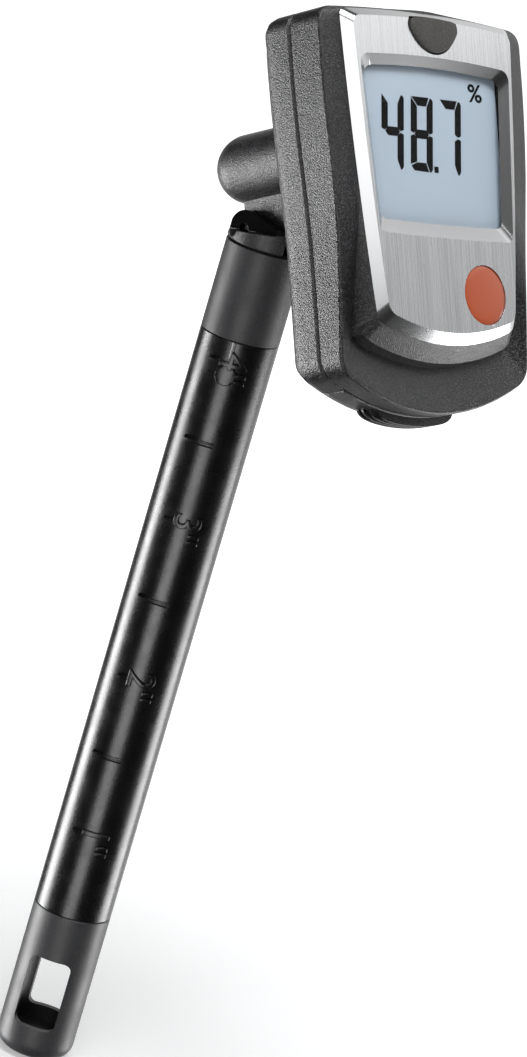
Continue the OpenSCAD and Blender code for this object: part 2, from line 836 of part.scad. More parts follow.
module front_shell() {
    color("#333335") on_head() difference() {
        front_outside();
        // Hollow of the raised middle, and the shallow hollow behind the rim
        layer(rear_depth - over, inner_front) polygon(hollow_ring(0));
        layer(rear_depth - over, rear_depth + rim_wall) polygon(case_ring(case_wall));
        // Room for the lower cells and their leaves
        layer(rear_depth - over, cell_front + leaf_t + running) cell_room();
        // Pocket of the display, seat of the lens
        layer(rear_depth, bezel_depth + over) translate([-lcd_hw - pocket_gap, lcd_z[1] - pocket_gap])
            square([2 * (lcd_hw + pocket_gap), lcd_z[0] - lcd_z[1] + 2 * pocket_gap]);
        layer(lens_back - running, bezel_depth + over) lens_outline(loose);
        layer(rear_depth, bezel_depth + over) button_outline(gap);
        for (p = screw_places)
            bar(screw_r + seat, rear_depth, screw_seat + screw_len + pilot_end, p[0], p[1]);
    }
}
module bezel_plate() {
    // Ring of the bevelled window, s = 1 where the bevel ends at the lens and 0 at the front face
    window_ring = function (s, depth) at_depth(outline(
        function (z)
            mix(window_hw[1], window_hw[0], (z + window_z[1]) / (window_z[0] + window_z[1]))
                - s * window_bevel[0],
        [window_z[0] + window_arch[0] - s * window_bevel[0], window_z[0] - s * window_bevel[0]],
        [-window_z[1] - window_arch[1] + s * window_bevel[1], -window_z[1] + s * window_bevel[1]],
        window_corner
    ), depth);
    past = -over / (front_depth - lens_front);
    color("#c4c6c8") on_head() difference() {
        loft([
            at_depth(edge_ring, bezel_depth + running),
            at_depth(bezel_ring(0, 0, 0), front_depth)
        ]);
        // Bevelled window, the lens's recess behind it, the button's opening, the badge's recess
        loft([
            window_ring(1, lens_front),
            window_ring(past, front_depth + over)
        ]);
        layer(bezel_depth - over, lens_front + running) lens_outline(loose);
        layer(bezel_depth - over, front_depth + over) button_outline(gap);
        bar(badge_d / 2 + seat, front_depth - badge_recess, front_depth + over, badge_at[0], badge_at[1]);
    }
}
module badge_disc() {
    // Plain domed disc in the bezel's round recess
    color("#d9722a") on_head()
        translate([badge_at[0], -front_depth + badge_recess - seat, badge_at[1]])
            rotate([90, 0, 0]) rotate_extrude() polygon(concat(
                [[0, 0], [badge_d / 2, 0], [badge_d / 2, badge_edge]],
                [
                    for (i = [badge_steps:-1:0])
                        let (u = i / badge_steps)
                        [(badge_d / 2 - badge_lip) * u, badge_t - badge_dome * u * u]
                ]
            ));
}

// Display stack and board
module display_lens() {
    color([0.8, 0.9, 0.95, 0.3]) on_head() layer(lens_back, lens_front) lens_outline(0);
}
module lcd_panel() {
    color("#b9cddc") on_head()
        box_between([-lcd_hw, -lcd_front, lcd_z[1]], [lcd_hw, -frame_front, lcd_z[0]]);
}
module lcd_frame() {
    // Frame between display and board, with a slot for each contact strip
    color("#e6e6e2") on_head() difference() {
        box_between([-lcd_hw, -frame_front, lcd_z[1]], [lcd_hw, -board_front, lcd_z[0]]);
        box_between([-frame_hw, -frame_front - over, frame_z[0]],
            [frame_hw, -board_front + over, frame_z[1]]);
        for (z = strip_z)
            box_between([-strip_hw - strip_room, -frame_front - over, z - strip_h / 2 - strip_room],
                [strip_hw + strip_room, -board_front + over, z + strip_h / 2 + strip_room]);
    }
}
module contact_strips() {
    color("#d98a9a") on_head() for (z = strip_z)
        box_between([-strip_hw, -frame_front + running, z - strip_h / 2],
            [strip_hw, -board_front - running, z + strip_h / 2]);
}
module circuit_board() {
    color("#1f5c3a") on_head() difference() {
        layer(board_back, board_front) polygon(hollow_ring(pcb_inset));
        // Hole where the wires are soldered
        bar(solder_r, board_back - over, board_front + over, solder_x, 0);
    }
}
module controller_chip() {
    color("#161616") on_head()
        box_between([-controller_hw, -board_back + seat, controller_z[0]],
            [controller_hw, -board_back + controller_t, controller_z[1]]);
}
module key_dome() {
    color("#c9ccd0") on_head() translate([0, -board_front, key_z]) rotate([90, 0, 0])
        cylinder(r1 = dome_r[0], r2 = dome_r[1], h = dome_h);
}
module case_screws() {
    color("#5c5e60") on_head() for (p = screw_places) {
        bar(screw_head_r, screw_seat - screw_head_t, screw_seat, p[0], p[1]);
        bar(screw_r, screw_seat - sunk, screw_seat + screw_len, p[0], p[1]);
    }
}

// Battery bay
module cell_room() {
    translate([-cell_bay_hw, cell_bay_z[0]]) square([2 * cell_bay_hw, cell_bay_z[1] - cell_bay_z[0]]);
}
module battery_tray() {
    // Tray between the cells and the board, with a pocket for each cell
    color("#2e2e30") on_head() difference() {
        layer(cell_back + tray_lip, tray_front) difference() {
            translate([-tray_hw, tray_z[0]]) square([2 * tray_hw, tray_z[1] - tray_z[0]]);
            for (side = [-1, 1])
                translate([side * tray_hw, tray_z[1]]) rotate(45) square(tray_corner, center = true);
        }
        for (p = cell_places) {
            bar(cell_d / 2 + loose, 0, cell_front + seat, p[0], p[1]);
            bar(cell_d / 2 - cell_ledge, 0, cell_front + leaf_t, p[0], p[1]);
        }
        // The front shell's own floor carries the lower leaves
        layer(cell_front, tray_front + over) cell_room();
        // The foot of the cover passes under the tray
        layer(0, rear_depth) difference() {
            translate([-foot_room, foot_top - foot_room]) square([2 * foot_room, foot_room]);
            polygon(case_ring(case_wall + 2 * gap));
        }
    }
}
module button_cells() {
    color("#c3c6c9") on_head() for (p = cell_places)
        bar(cell_d / 2, cell_back, cell_front, p[0], p[1]);
}
module cell_contacts() {
    // Spring leaves under the cells
    color("#d4b45a") on_head() for (p = cell_places)
        layer(cell_front + seat, cell_front + leaf_t - seat) translate(p) square(leaf, center = true);
}
module battery_cover() {
    rail_hw = cover_hw + rail_w;
    color("#38383a") on_head() union() {
        intersection() {
            difference() {
                rear_outside();
                inner_space();
            }
            cover_zone(0, rear_depth - gap);
        }
        // Rails that slide behind the shell's edges
        for (side = [-1, 1]) {
            inner = side * (cover_hw - rail_root);
            box_between([min(side * rail_hw, inner), -rail_level - rail_t, rail_low],
                [max(side * rail_hw, inner), -rail_level, rail_top]);
            box_between([min(side * cover_hw, inner), -rail_level - rail_t / 2, rail_low],
                [max(side * cover_hw, inner), -case_wall / 2, rail_top]);
        }
        // Thumb tab under the foot: ribs that are shorter towards the front, on a low web
        tab_front = rear_depth - gap - rib_back;
        tab_depth = (tab_ribs - 1) * rib_pitch + rib_t;
        rib_half = function (rib) tab_hw * sqrt(1 - pow((tab_ribs - 1 - rib) / (tab_ribs + 1), 2));
        for (rib = [0:tab_ribs - 1]) {
            front = tab_front - rib * rib_pitch;
            layer(front - rib_t, front) tab_band(rib_half(rib), tab_h);
        }
        layer(tab_front - tab_depth, tab_front) tab_band(rib_half(0), tab_h * tab_web);
    }
}
module tab_band(half, height) {
    // Band below the case's bottom edge, with rounded ends
    steps = 24;
    end_power = 8;
    low = function (x, d) -arch(case_bottom + case_bottom_arch, case_bottom, case_w(-case_bottom), x) - d;
    x_at = function (i) half * sin(90 * (2 * i / steps - 1));
    polygon(concat(
        [for (i = [0:steps]) let (x = x_at(i)) [x, low(x, -sunk)]],
        [
            for (i = [steps - 1:-1:1])
                let (x = x_at(i), u = abs(x / half))
                [x, low(x, height * sqrt(1 - pow(u, end_power)))]
        ]
    ));
}
module cover_contact() {
    // Bridging plate on the inside of the cover
    side = cell_pitch + plate_side;
    low = cell_rows[0] - plate_half;
    high = cell_rows[0] + plate_half;
    end = cell_rows[1] + plate_half;
    color("#d4b45a") on_head() layer(case_wall + running, case_wall + running + contact_t)
        polygon([
            [-side, low],
            [side, low],
            [side, high],
            [plate_end, end],
            [-plate_end, end],
            [-side, high]
        ]);
}

// Button
module power_button() {
    // Cap in the bezel, collar behind it and a stem over the key dome
    color("#6a6a6c") on_head() {
        layer(bezel_depth - button_root, front_depth + button_proud) button_outline(0);
        bar(stem_r, stem_end, bezel_depth, 0, key_z);
    }
}

shaft_tube();
neck_sleeve();
sensor_cap();
cap_seal();
sensor_holder();
sensor_board();
humidity_sensor();
temperature_bead();
shaft_lead();
neck_fork();
hinge_pin();
friction_washers();
swivel_washer();
swivel_clip();
rear_shell();
hinge_arm();
arm_screws();
case_screws();
front_shell();
bezel_plate();
display_lens();
lcd_panel();
lcd_frame();
contact_strips();
circuit_board();
controller_chip();
key_dome();
badge_disc();
button_cells();
cell_contacts();
battery_tray();
head_lead();
power_button();
battery_cover();
cover_contact();
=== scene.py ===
# %% [markdown]
# # A pocket thermo-hygrometer
# A thin black probe carries a small display head on a hinge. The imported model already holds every
# piece at its real place, so this lesson adds what a model of solids lacks: soft edges, the grain of
# moulded plastic, brushed metal, the figures on the display and the scale on the probe.
# The first cell loads that model. Everything later sits on it.

# %% Load the fixed model
import json
import math

import bmesh
import bpy
from mathutils import Matrix, Vector


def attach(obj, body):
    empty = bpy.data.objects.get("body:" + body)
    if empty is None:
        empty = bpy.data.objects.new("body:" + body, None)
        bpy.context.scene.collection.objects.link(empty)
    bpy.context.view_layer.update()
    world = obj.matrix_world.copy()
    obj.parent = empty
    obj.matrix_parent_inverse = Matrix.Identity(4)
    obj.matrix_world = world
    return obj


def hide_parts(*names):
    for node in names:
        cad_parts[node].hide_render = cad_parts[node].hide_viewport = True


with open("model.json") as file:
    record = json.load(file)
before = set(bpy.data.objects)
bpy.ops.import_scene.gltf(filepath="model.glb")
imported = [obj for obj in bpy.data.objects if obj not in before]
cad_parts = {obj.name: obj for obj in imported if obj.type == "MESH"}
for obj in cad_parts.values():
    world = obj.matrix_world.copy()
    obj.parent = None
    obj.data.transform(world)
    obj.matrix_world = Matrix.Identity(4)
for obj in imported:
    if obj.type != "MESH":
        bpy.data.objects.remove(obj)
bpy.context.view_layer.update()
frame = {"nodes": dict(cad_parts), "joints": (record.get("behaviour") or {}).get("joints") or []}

# %% [markdown]
# ## Two frames to work in
# The probe stands upright, but the head is turned and tilted. Shapes of the head are far easier to
# write in its own axes: x across the display, z up the display, and depth from the rear face forward.
# The joints already know these directions, so the head's frame is read from them.

# %% Frames in millimetres
MM = 0.001
JOINTS = {joint["name"]: joint for joint in frame["joints"]}
HINGE = Vector(JOINTS["head_tilt"]["pos_m"])
head_x = -Vector(JOINTS["head_tilt"]["axis"]).normalized()
head_y = Vector(JOINTS["button_press"]["axis"]).normalized()
head_z = -Vector(JOINTS["cover_slide"]["axis"]).normalized()
# From the hinge pin to the middle of the head's rear face
ARM_REACH, ARM_LIFT = 22.37, 9.43
head_middle = HINGE - head_y * ARM_REACH * MM + head_z * ARM_LIFT * MM
HEAD_TURN = Matrix((head_x, head_y, head_z)).transposed()
HEAD = Matrix.Translation(head_middle) @ HEAD_TURN.to_4x4() @ Matrix.Scale(MM, 4)
STICK = Matrix.Scale(MM, 4)
# Turns what was made upright to point out of the display
TO_FRONT = Matrix.Rotation(math.radians(90), 4, "X")
print("head frame at", [round(v, 5) for v in head_middle])

# %% [markdown]
# ## Camera
# The photograph looks down on the probe a little, with the whole picture rolled. So the camera's
# place and its directions to the right and down are written out, and the third follows from them.

# %% Camera
AIM = Vector((0.0, 0.0, 0.07388))
CAMERA_AT = AIM + Vector((0.1004, -0.6528, 0.1174))
SENSOR_MM, LENS_MM = 24, 103.72


def adjust(thing, **values):
    for key, value in values.items():
        setattr(thing, key, value)
    return thing


def in_scene(name, data):
    """A new object that holds this data, linked to the scene."""
    obj = bpy.data.objects.new(name, data)
    bpy.context.scene.collection.objects.link(obj)
    return obj


view_right = Vector((0.9401, 0.2004, 0.2757)).normalized()
view_down = Vector((0.3149, -0.2010, -0.9276)).normalized()
view_ahead = view_right.cross(view_down).normalized()
view_down = view_ahead.cross(view_right).normalized()
camera = in_scene("camera", adjust(
    bpy.data.cameras.new("camera"),
    sensor_fit="VERTICAL", sensor_height=SENSOR_MM, lens=LENS_MM, clip_start=0.01,
))
axes = Matrix((view_right, -view_down, -view_ahead)).transposed().to_4x4()
camera.matrix_world = Matrix.Translation(CAMERA_AT) @ axes
bpy.context.scene.camera = camera
print("camera looks along", [round(v, 4) for v in view_ahead])

# %% [markdown]
# ## Helpers for meshes
# Shapes are made in millimetres, where Booleans are safe, and placed in metres at the end. Two forms
# cover most pieces: a lathe for what is turned, and a loft through rings for what is moulded.

# %% Lathe, loft and cut
# Points closer than this, in millimetres, are one point
MERGE = 0.0005


def reshape(mesh, work):
    """Opens a mesh for editing, lets the work be done on it and writes it back."""
    shape = bmesh.new()
    shape.from_mesh(mesh)
    work(shape)
    shape.to_mesh(mesh)
    shape.free()


def merge(shape, distance=MERGE):
    bmesh.ops.remove_doubles(shape, verts=shape.verts, dist=distance)


def face_out(shape):
    bmesh.ops.recalc_face_normals(shape, faces=shape.faces)


def mesh_object(name, points, faces):
    mesh = bpy.data.meshes.new(name)
    mesh.from_pydata([tuple(point) for point in points], [], faces)
    reshape(mesh, merge)
    reshape(mesh, face_out)
    return in_scene(name, mesh)


def full_turn(steps):
    return [2 * math.pi * k / steps for k in range(steps)]


def quarter_turn(steps):
    return [math.pi / 2 * k / steps for k in range(steps + 1)]


def lathe(name, profile, steps=160):
    """Turns a closed profile of (radius, height) round the z axis."""
    rows = len(profile)
    points = [(r * math.cos(a), r * math.sin(a), h) for a in full_turn(steps) for r, h in profile]
    faces = []
    for k in range(steps):
        here, there = k * rows, (k + 1) % steps * rows
        for i in range(rows):
            j = (i + 1) % rows
            if profile[i][0] > 0 or profile[j][0] > 0:
                faces.append((here + i, there + i, there + j, here + j))
    return mesh_object(name, points, faces)


def loft(name, rings):
    """Skins closed rings that have the same number of points, with a lid at each end."""
    size = len(rings[0])
    points = [point for ring in rings for point in ring]
    faces = [tuple(range(size)), tuple(range(len(points) - size, len(points)))]
    for row in range(len(rings) - 1):
        for k in range(size):
            a, b = row * size + k, row * size + (k + 1) % size
            faces.append((a, b, b + size, a + size))
    return mesh_object(name, points, faces)


def rectangle(left, right, low, high):
    return [(left, low), (right, low), (right, high), (left, high)]


def apply_modifiers(obj):
    graph = bpy.context.evaluated_depsgraph_get()
    mesh = bpy.data.meshes.new_from_object(obj.evaluated_get(graph))
    obj.modifiers.clear()
    obj.data = mesh


def cut(obj, cutter, operation="DIFFERENCE"):
    """Takes the cutter away from the object, or adds it with UNION. The cutter is used up."""
    boolean = obj.modifiers.new("cut", "BOOLEAN")
    adjust(boolean, operation=operation, solver="EXACT", object=cutter)
    apply_modifiers(obj)
    bpy.data.objects.remove(cutter)


print("points merge within", MERGE, "mm")

# %% [markdown]
# ## Finishing a piece
# A real moulding never has a knife edge. Each piece gets a narrow bevel on its sharp edges and
# normals weighted by face area, so that flat faces stay flat and only the edges catch light. The
# same function gives the piece its material and its body, and hides the model's nodes that it stands
# for.

# %% Finish and carry over
SHARP = math.radians(32)
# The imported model's meshes are loose triangles: their points merge and their flat areas join
LOOSE = 0.001
FLAT = math.radians(0.5)


def finish(obj, place, body, material, replaced=(), bevel=0.12, segments=2, sharp=SHARP):
    """bevel is in millimetres. Without one, the sharp edges are only marked."""
    obj.data.transform(place)
    obj.data.shade_smooth()
    if bevel:
        edges = obj.modifiers.new("edges", "BEVEL")
        adjust(edges, width=bevel * MM, segments=segments, limit_method="ANGLE", angle_limit=sharp)
    else:
        obj.data.set_sharp_from_angle(angle=sharp)
    obj.modifiers.new("normals", "WEIGHTED_NORMAL").keep_sharp = True
    apply_modifiers(obj)
    obj.data.materials.clear()
    obj.data.materials.append(material)
    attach(obj, body)
    if replaced:
        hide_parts(*replaced)
    print(f"{obj.name}: {len(obj.data.polygons)} faces on {body}")


def join_flat(shape):
    merge(shape, LOOSE)
    bmesh.ops.dissolve_limit(shape, angle_limit=FLAT, verts=shape.verts, edges=shape.edges)


def solid_of(node, name, place):
    """A merged copy of a node's mesh, in the millimetres of place."""
    mesh = frame["nodes"][node].data.copy()
    mesh.transform(place.inverted())
    reshape(mesh, join_flat)
    return in_scene(name, mesh)


print("edges sharper than", round(math.degrees(SHARP)), "degrees get a bevel")

# %% [markdown]
# ## Helpers for materials
# Colours are written as the eye reads them, in sRGB hex, and turned to linear light by one function.
# Another adds a node with its settings and inputs. Patterns use Object coordinates in metres, so each
# scale is one over a real size.

# %% Colour and nodes
def linear(code):
    parts = [int(code[k:k + 2], 16) / 255 for k in (1, 3, 5)]
    light = [c / 12.92 if c <= 0.04045 else ((c + 0.055) / 1.055) ** 2.4 for c in parts]
    return (*light, 1.0)


def feed(node, inputs):
    """Gives each input its value, or a link where another node's socket is named."""
    for key, value in inputs.items():
        if isinstance(value, bpy.types.NodeSocket):
            node.id_data.links.new(value, node.inputs[key])
        else:
            node.inputs[key].default_value = value


def add(tree, kind, inputs=None, **settings):
    node = adjust(tree.nodes.new(kind), **settings)
    feed(node, inputs or {})
    return node


def plain(name, colour, roughness, metallic=0.0, **values):
    """A material whose shader has these values. Returns the material and its shader."""
    material = bpy.data.materials.new(name)
    material.use_nodes = True
    shader = material.node_tree.nodes["Principled BSDF"]
    feed(shader, {"Base Color": linear(colour), "Roughness": roughness, "Metallic": metallic})
    feed(shader, {key.replace("_", " "): value for key, value in values.items()})
    return material, shader


# Places of the sockets of a Mix node, for colours and for numbers
MIX_A, MIX_B, MIX_OUT = 6, 7, 2
MIX_NUMBER_A, MIX_NUMBER_B, MIX_NUMBER_OUT = 2, 3, 0
# A noise stays mostly between these two values
NOISE_FROM = (0.3, 0.7)


def textured(material, shader, pattern, tones, tone_from, sheen_pattern, roughness, relief):
    """One pattern drives colour and bump, another the sheen. relief is in millimetres."""
    tree = material.node_tree
    tone = add(tree, "ShaderNodeMapRange", {
        "Value": pattern, "From Min": tone_from[0], "From Max": tone_from[1],
    })
    colour = add(tree, "ShaderNodeMix", {
        0: tone.outputs["Result"], MIX_A: linear(tones[0]), MIX_B: linear(tones[1]),
    }, data_type="RGBA")
    sheen = add(tree, "ShaderNodeMapRange", {
        "Value": sheen_pattern, "From Min": NOISE_FROM[0], "From Max": NOISE_FROM[1],
        "To Min": roughness[0], "To Max": roughness[1],
    })
    bump = add(tree, "ShaderNodeBump", {"Strength": 1.0, "Distance": relief * MM, "Height": pattern})
    feed(shader, {
        "Base Color": colour.outputs[MIX_OUT],
        "Roughness": sheen.outputs["Result"],
        "Normal": bump.outputs["Normal"],
    })


print("a mid grey of #808080 is", round(linear("#808080")[0], 3), "in linear light")

# %% [markdown]
# ## Moulded plastic
# Every black piece is ABS from a steel mould. Where the mould was spark-eroded, the plastic has a
# fine leathery grain that breaks light into specks, and the pale tone on the grain's peaks is a
# painted glint besides the bump's real glints; where it was only blasted, the plastic keeps its
# gloss and the grain just blurs it. One function makes both: fine noise for the grain and its pale
# peaks, a wide noise for the uneven sheen, and a bump as deep as the mould's texture.

# %% Plastic with a moulded grain
# The sheen changes over this many grains
SHEEN_GRAINS = 14


def moulded(name, dark, pale, grain, relief, roughness, specks_from=(0.42, 0.72), ior=1.5):
    """grain and relief are in millimetres, roughness is (smoothest, roughest)."""
    material, shader = plain(name, dark, roughness[0], IOR=ior)
    tree = material.node_tree
    place = add(tree, "ShaderNodeTexCoord").outputs["Object"]
    fine, wide = [
        add(tree, "ShaderNodeTexNoise", {
            "Vector": place, "Scale": 1 / (size * MM), "Detail": detail, "Roughness": rough,
        }).outputs["Fac"]
        for size, detail, rough in ((grain, 2.0, 0.6), (SHEEN_GRAINS * grain, 3.0, 0.55))
    ]
    # The fine noise paints the pale tone on the grain's peaks: on the spark-eroded black plastics that
    # pale is a painted glint
    textured(material, shader, fine, (dark, pale), specks_from, wide, roughness, relief)
    return material


# Lightly blasted mould: still glossy, but the grain blurs the edges of every highlight
gloss_abs = moulded("gloss_abs", "#050506", "#0b0b0c", 0.22, 0.018, (0.23, 0.31), ior=1.55)
# Drawn by a blasted mould: satin, with a fine grain
satin_abs = moulded("satin_abs", "#2b2b2d", "#353537", 0.3, 0.014, (0.42, 0.5))
# Spark-eroded mould, a fifth of a millimetre from peak to peak: black, with a painted glint on each
# peak, a pale grey in its colour, besides the bump's real glints
eroded_abs = moulded("eroded_abs", "#050506", "#47474a", 0.2, 0.11, (0.28, 0.34), (0.5, 0.68), 1.6)
# The same grain on the hinge parts, finer, with the same painted glints in its pale peaks
hinge_abs = moulded("hinge_abs", "#0a0a0b", "#4c4c4e", 0.18, 0.1, (0.27, 0.33), (0.48, 0.66), 1.6)
# The grey key, a softer plastic with a matt grain
key_abs = moulded("key_abs", "#302f2e", "#4d4b49", 0.2, 0.04, (0.5, 0.62))
print("plastics made")

# %% [markdown]
# ## Two finishes on one piece
# The folding neck is grained only on the ring that closes the seam; above the ring the mould was
# polished and the plastic is smooth and near black, partly its own gloss black and partly painted
# shade over the neck under the head's barrel. The bezel, too, has two finishes: a brushed front and
# bright cut bevels. Both are one piece of one material, so the shader is told where the surface is
# smooth. A mask that is 1 on the textured part and 0 on the smooth part blends its three links.

# %% A smooth part on a textured material
def smooth_part(material, source, direction, smooth_at, textured_at, colour, roughness):
    """Smooth where a coordinate, taken along a direction, has reached smooth_at."""
    tree = material.node_tree
    shader = tree.nodes["Principled BSDF"]
    bump = next(node for node in tree.nodes if node.type == "BUMP")
    textured_colour, textured_sheen = [
        shader.inputs[key].links[0].from_socket for key in ("Base Color", "Roughness")
    ]
    along = add(tree, "ShaderNodeVectorMath", {
        0: add(tree, "ShaderNodeTexCoord").outputs[source], 1: direction,
    }, operation="DOT_PRODUCT")
    mask = add(tree, "ShaderNodeMapRange", {
        "Value": along.outputs["Value"], "From Min": smooth_at, "From Max": textured_at,
    }).outputs["Result"]
    colours = add(tree, "ShaderNodeMix", {
        0: mask, MIX_A: linear(colour), MIX_B: textured_colour,
    }, data_type="RGBA")
    sheens = add(tree, "ShaderNodeMix", {
        0: mask, MIX_NUMBER_A: roughness, MIX_NUMBER_B: textured_sheen,
    }, data_type="FLOAT")
    feed(shader, {"Base Color": colours.outputs[MIX_OUT], "Roughness": sheens.outputs[MIX_NUMBER_OUT]})
    feed(bump, {"Strength": mask})
    print(material.name, "is smooth at", round(smooth_at, 4), "along", source)


# %% Neck plastic
# The neck's grained ring has the same painted glints in its pale peaks
fork_abs = moulded("fork_abs", "#1a1a1b", "#48484a", 0.18, 0.05, (0.32, 0.4), (0.46, 0.68))
# The ring's top slopes down towards the arm's side. Its height is taken at the stick's axis
RING_TOP = 62.5
RING_SLOPE = math.radians(11.86)
RING_BLEND = 0.1
UP = Vector((0, 0, 1))
square_to_ring = UP + UP.cross(head_x) * math.tan(RING_SLOPE)
# Above the ring the colour is near black: partly the neck's own gloss black, partly painted shade under
# the head's barrel
smooth_part(
    fork_abs, "Object", square_to_ring, (RING_TOP + RING_BLEND) * MM, RING_TOP * MM, "#050506", 0.06
)

# %% [markdown]
# ## Brushed metal
# The bezel is a thin aluminium plate, brushed along the height of the head. Brushing leaves long
# fine scratches, so the noise is squeezed across the head and stretched along it. The coordinates
# are first turned into the head's axes and then scaled by two different sizes.

# %% Brushed aluminium
def brushed(name, pale, dark, width, length, relief, roughness):
    """Scratches of a width and a length in millimetres, along the head's height."""
    material, shader = plain(name, pale, roughness[0], 1.0)
    tree = material.node_tree
    place = add(tree, "ShaderNodeTexCoord").outputs["Object"]
    turned = add(tree, "ShaderNodeMapping", {
        "Vector": place, "Rotation": HEAD_TURN.inverted().to_euler("XYZ"),
    })
    stretched = add(tree, "ShaderNodeMapping", {
        "Vector": turned.outputs["Vector"],
        "Scale": (1 / (width * MM), 1 / (width * MM), 1 / (length * MM)),
    })
    streaks = add(tree, "ShaderNodeTexNoise", {
        "Vector": stretched.outputs["Vector"], "Scale": 1.0, "Detail": 4.0, "Roughness": 0.65,
    }).outputs["Fac"]
    textured(material, shader, streaks, (dark, pale), NOISE_FROM, streaks, roughness, relief)
    return material


brushed_aluminium = brushed("brushed_aluminium", "#cdcecf", "#a3a5a7", 0.16, 18, 0.005, (0.2, 0.32))
# The bevels are cut after brushing: every face that is turned from the front is bright and smooth
BEVEL_FACES, FRONT_FACES = 0.93, 0.99
smooth_part(brushed_aluminium, "Normal", -head_y, BEVEL_FACES, FRONT_FACES, "#c3c4c5", 0.22)

# %% [markdown]
# ## Small parts' materials
# Inside are turned steel, spring brass, rubber, a green board and white plastic. They show through
# the sensor window and when the battery cover is open. They reuse the same two recipes, and the
# pieces whose shape in the model is right only get their new material.

# %% Inner materials
INNER_METALS = {
    "turned_steel": ("#b4b7ba", "#8d9094", 0.1, 3, 0.002, (0.22, 0.34)),
    "blackened_steel": ("#2b2b2d", "#1c1c1e", 0.1, 3, 0.002, (0.35, 0.45)),
    "spring_brass": ("#c9a654", "#a5853c", 0.12, 4, 0.002, (0.24, 0.36)),
    "nickel_steel": ("#cfd2d4", "#b3b6b9", 0.2, 6, 0.002, (0.2, 0.3)),
}
INNER_MOULDINGS = {
    "white_abs": ("#d8d7d0", "#e4e3dd", 0.3, 0.01, (0.4, 0.5)),
    "seal_rubber": ("#101010", "#1a1a1a", 0.2, 0.01, (0.6, 0.7)),
    "zebra_rubber": ("#c77b8b", "#d997a5", 0.2, 0.01, (0.55, 0.65), (0.42, 0.72), 1.45),
    "inner_abs": ("#1c1c1d", "#28282a", 0.3, 0.02, (0.45, 0.55)),
    "solder_mask": ("#14482c", "#1d5f3b", 0.6, 0.01, (0.25, 0.35)),
    "chip_epoxy": ("#101011", "#1b1b1c", 0.15, 0.01, (0.5, 0.6)),
    "sensor_ceramic": ("#d9d5c6", "#e8e4d8", 0.2, 0.005, (0.4, 0.5)),
    "thermistor_epoxy": ("#43210f", "#5e3119", 0.3, 0.005, (0.2, 0.3)),
    "wire_pvc": ("#7a1515", "#942020", 0.4, 0.005, (0.35, 0.45)),
}
CARRIED = {
    "turned_steel": ("swivel_clip", "arm_screws", "key_dome"),
    "blackened_steel": ("hinge_pin",),
    "spring_brass": ("cell_contacts", "cover_contact"),
    "white_abs": ("friction_washers", "lcd_frame"),
    "seal_rubber": ("cap_seal", "swivel_washer"),
    "zebra_rubber": ("contact_strips",),
    "inner_abs": ("sensor_holder", "battery_tray"),
    "solder_mask": ("sensor_board", "circuit_board"),
    "chip_epoxy": ("controller_chip",),
    "sensor_ceramic": ("humidity_sensor",),
    "thermistor_epoxy": ("temperature_bead",),
    "wire_pvc": ("shaft_lead", "head_lead"),
}
inner = {name: brushed(name, *values) for name, values in INNER_METALS.items()}
inner.update({name: moulded(name, *values) for name, values in INNER_MOULDINGS.items()})
for name, nodes in CARRIED.items():
    for node in nodes:
        frame["nodes"][node].data.materials.clear()
        frame["nodes"][node].data.materials.append(inner[name])
print("carried over as they are:", sum(len(nodes) for nodes in CARRIED.values()))

# %% [markdown]
# ## The probe
# Three turned pieces in line: a tube with a soft gloss, a satin sleeve above it and a satin cap
# below. Each is a closed profile spun on the lathe. At a seam both edges have a small chamfer, and
# the two chamfers make the thin dark groove. At the neck the sleeve ends in a lip instead.

# %% Tube and sleeve
PROBE_R = 6.0
TUBE_WALL = 1.2
SEAM = 0.12
SEAM_CAP, SEAM_SLEEVE, SEAM_NECK = -46.65, 46.65, 60.45
WASHER = 0.4
COUPLING_R, COUPLING_LEN, COUPLING_WALL = 5.25, 5.4, 1
# The bore narrows to the coupling between these two distances below the seam
TAPER_LOW, TAPER_TOP = 3, 2
JOURNAL_R = 4.65
SHOULDER = 4.0
# Play between pieces that are pushed together
FIT = 0.03
bore = PROBE_R - TUBE_WALL
coupling_top = SEAM_SLEEVE + COUPLING_LEN
tube = lathe("probe_tube", [
    (bore, SEAM_CAP), (PROBE_R - SEAM, SEAM_CAP), (PROBE_R, SEAM_CAP + SEAM),
    (PROBE_R, SEAM_SLEEVE - SEAM), (PROBE_R - SEAM, SEAM_SLEEVE),
    (COUPLING_R - FIT, SEAM_SLEEVE), (COUPLING_R - FIT, coupling_top),
    (COUPLING_R - COUPLING_WALL, coupling_top),
    (COUPLING_R - COUPLING_WALL, SEAM_SLEEVE - TAPER_TOP),
    (bore, SEAM_SLEEVE - TAPER_LOW),
])
finish(tube, STICK, "stick", gloss_abs, ["shaft_tube"], 0.08)

# A lip hides the swivel's washer, so that only a thin dark line shows
LIP_R, LIP_EDGE, LIP_GAP = 5.82, 0.05, 0.04
sleeve_top = SEAM_NECK - WASHER / 2
lip_top = SEAM_NECK - LIP_GAP
sleeve = lathe("swivel_sleeve", [
    (COUPLING_R, SEAM_SLEEVE), (PROBE_R - SEAM, SEAM_SLEEVE), (PROBE_R, SEAM_SLEEVE + SEAM),
    (PROBE_R, lip_top - LIP_EDGE), (PROBE_R - LIP_EDGE, lip_top),
    (LIP_R, lip_top), (LIP_R, sleeve_top), (JOURNAL_R, sleeve_top),
    (JOURNAL_R, SEAM_NECK - SHOULDER), (COUPLING_R, SEAM_NECK - SHOULDER),
])
finish(sleeve, STICK, "stick", satin_abs, ["neck_sleeve"], 0.08)

# %% [markdown]
# ## The sensor cap
# The cap is hollow, and one window goes right through it, so that air reaches the sensors. The
# window's cutter is a rounded rectangle pushed through both walls. The bevel afterwards rounds the
# window's rim, where the photograph shows bright glints.

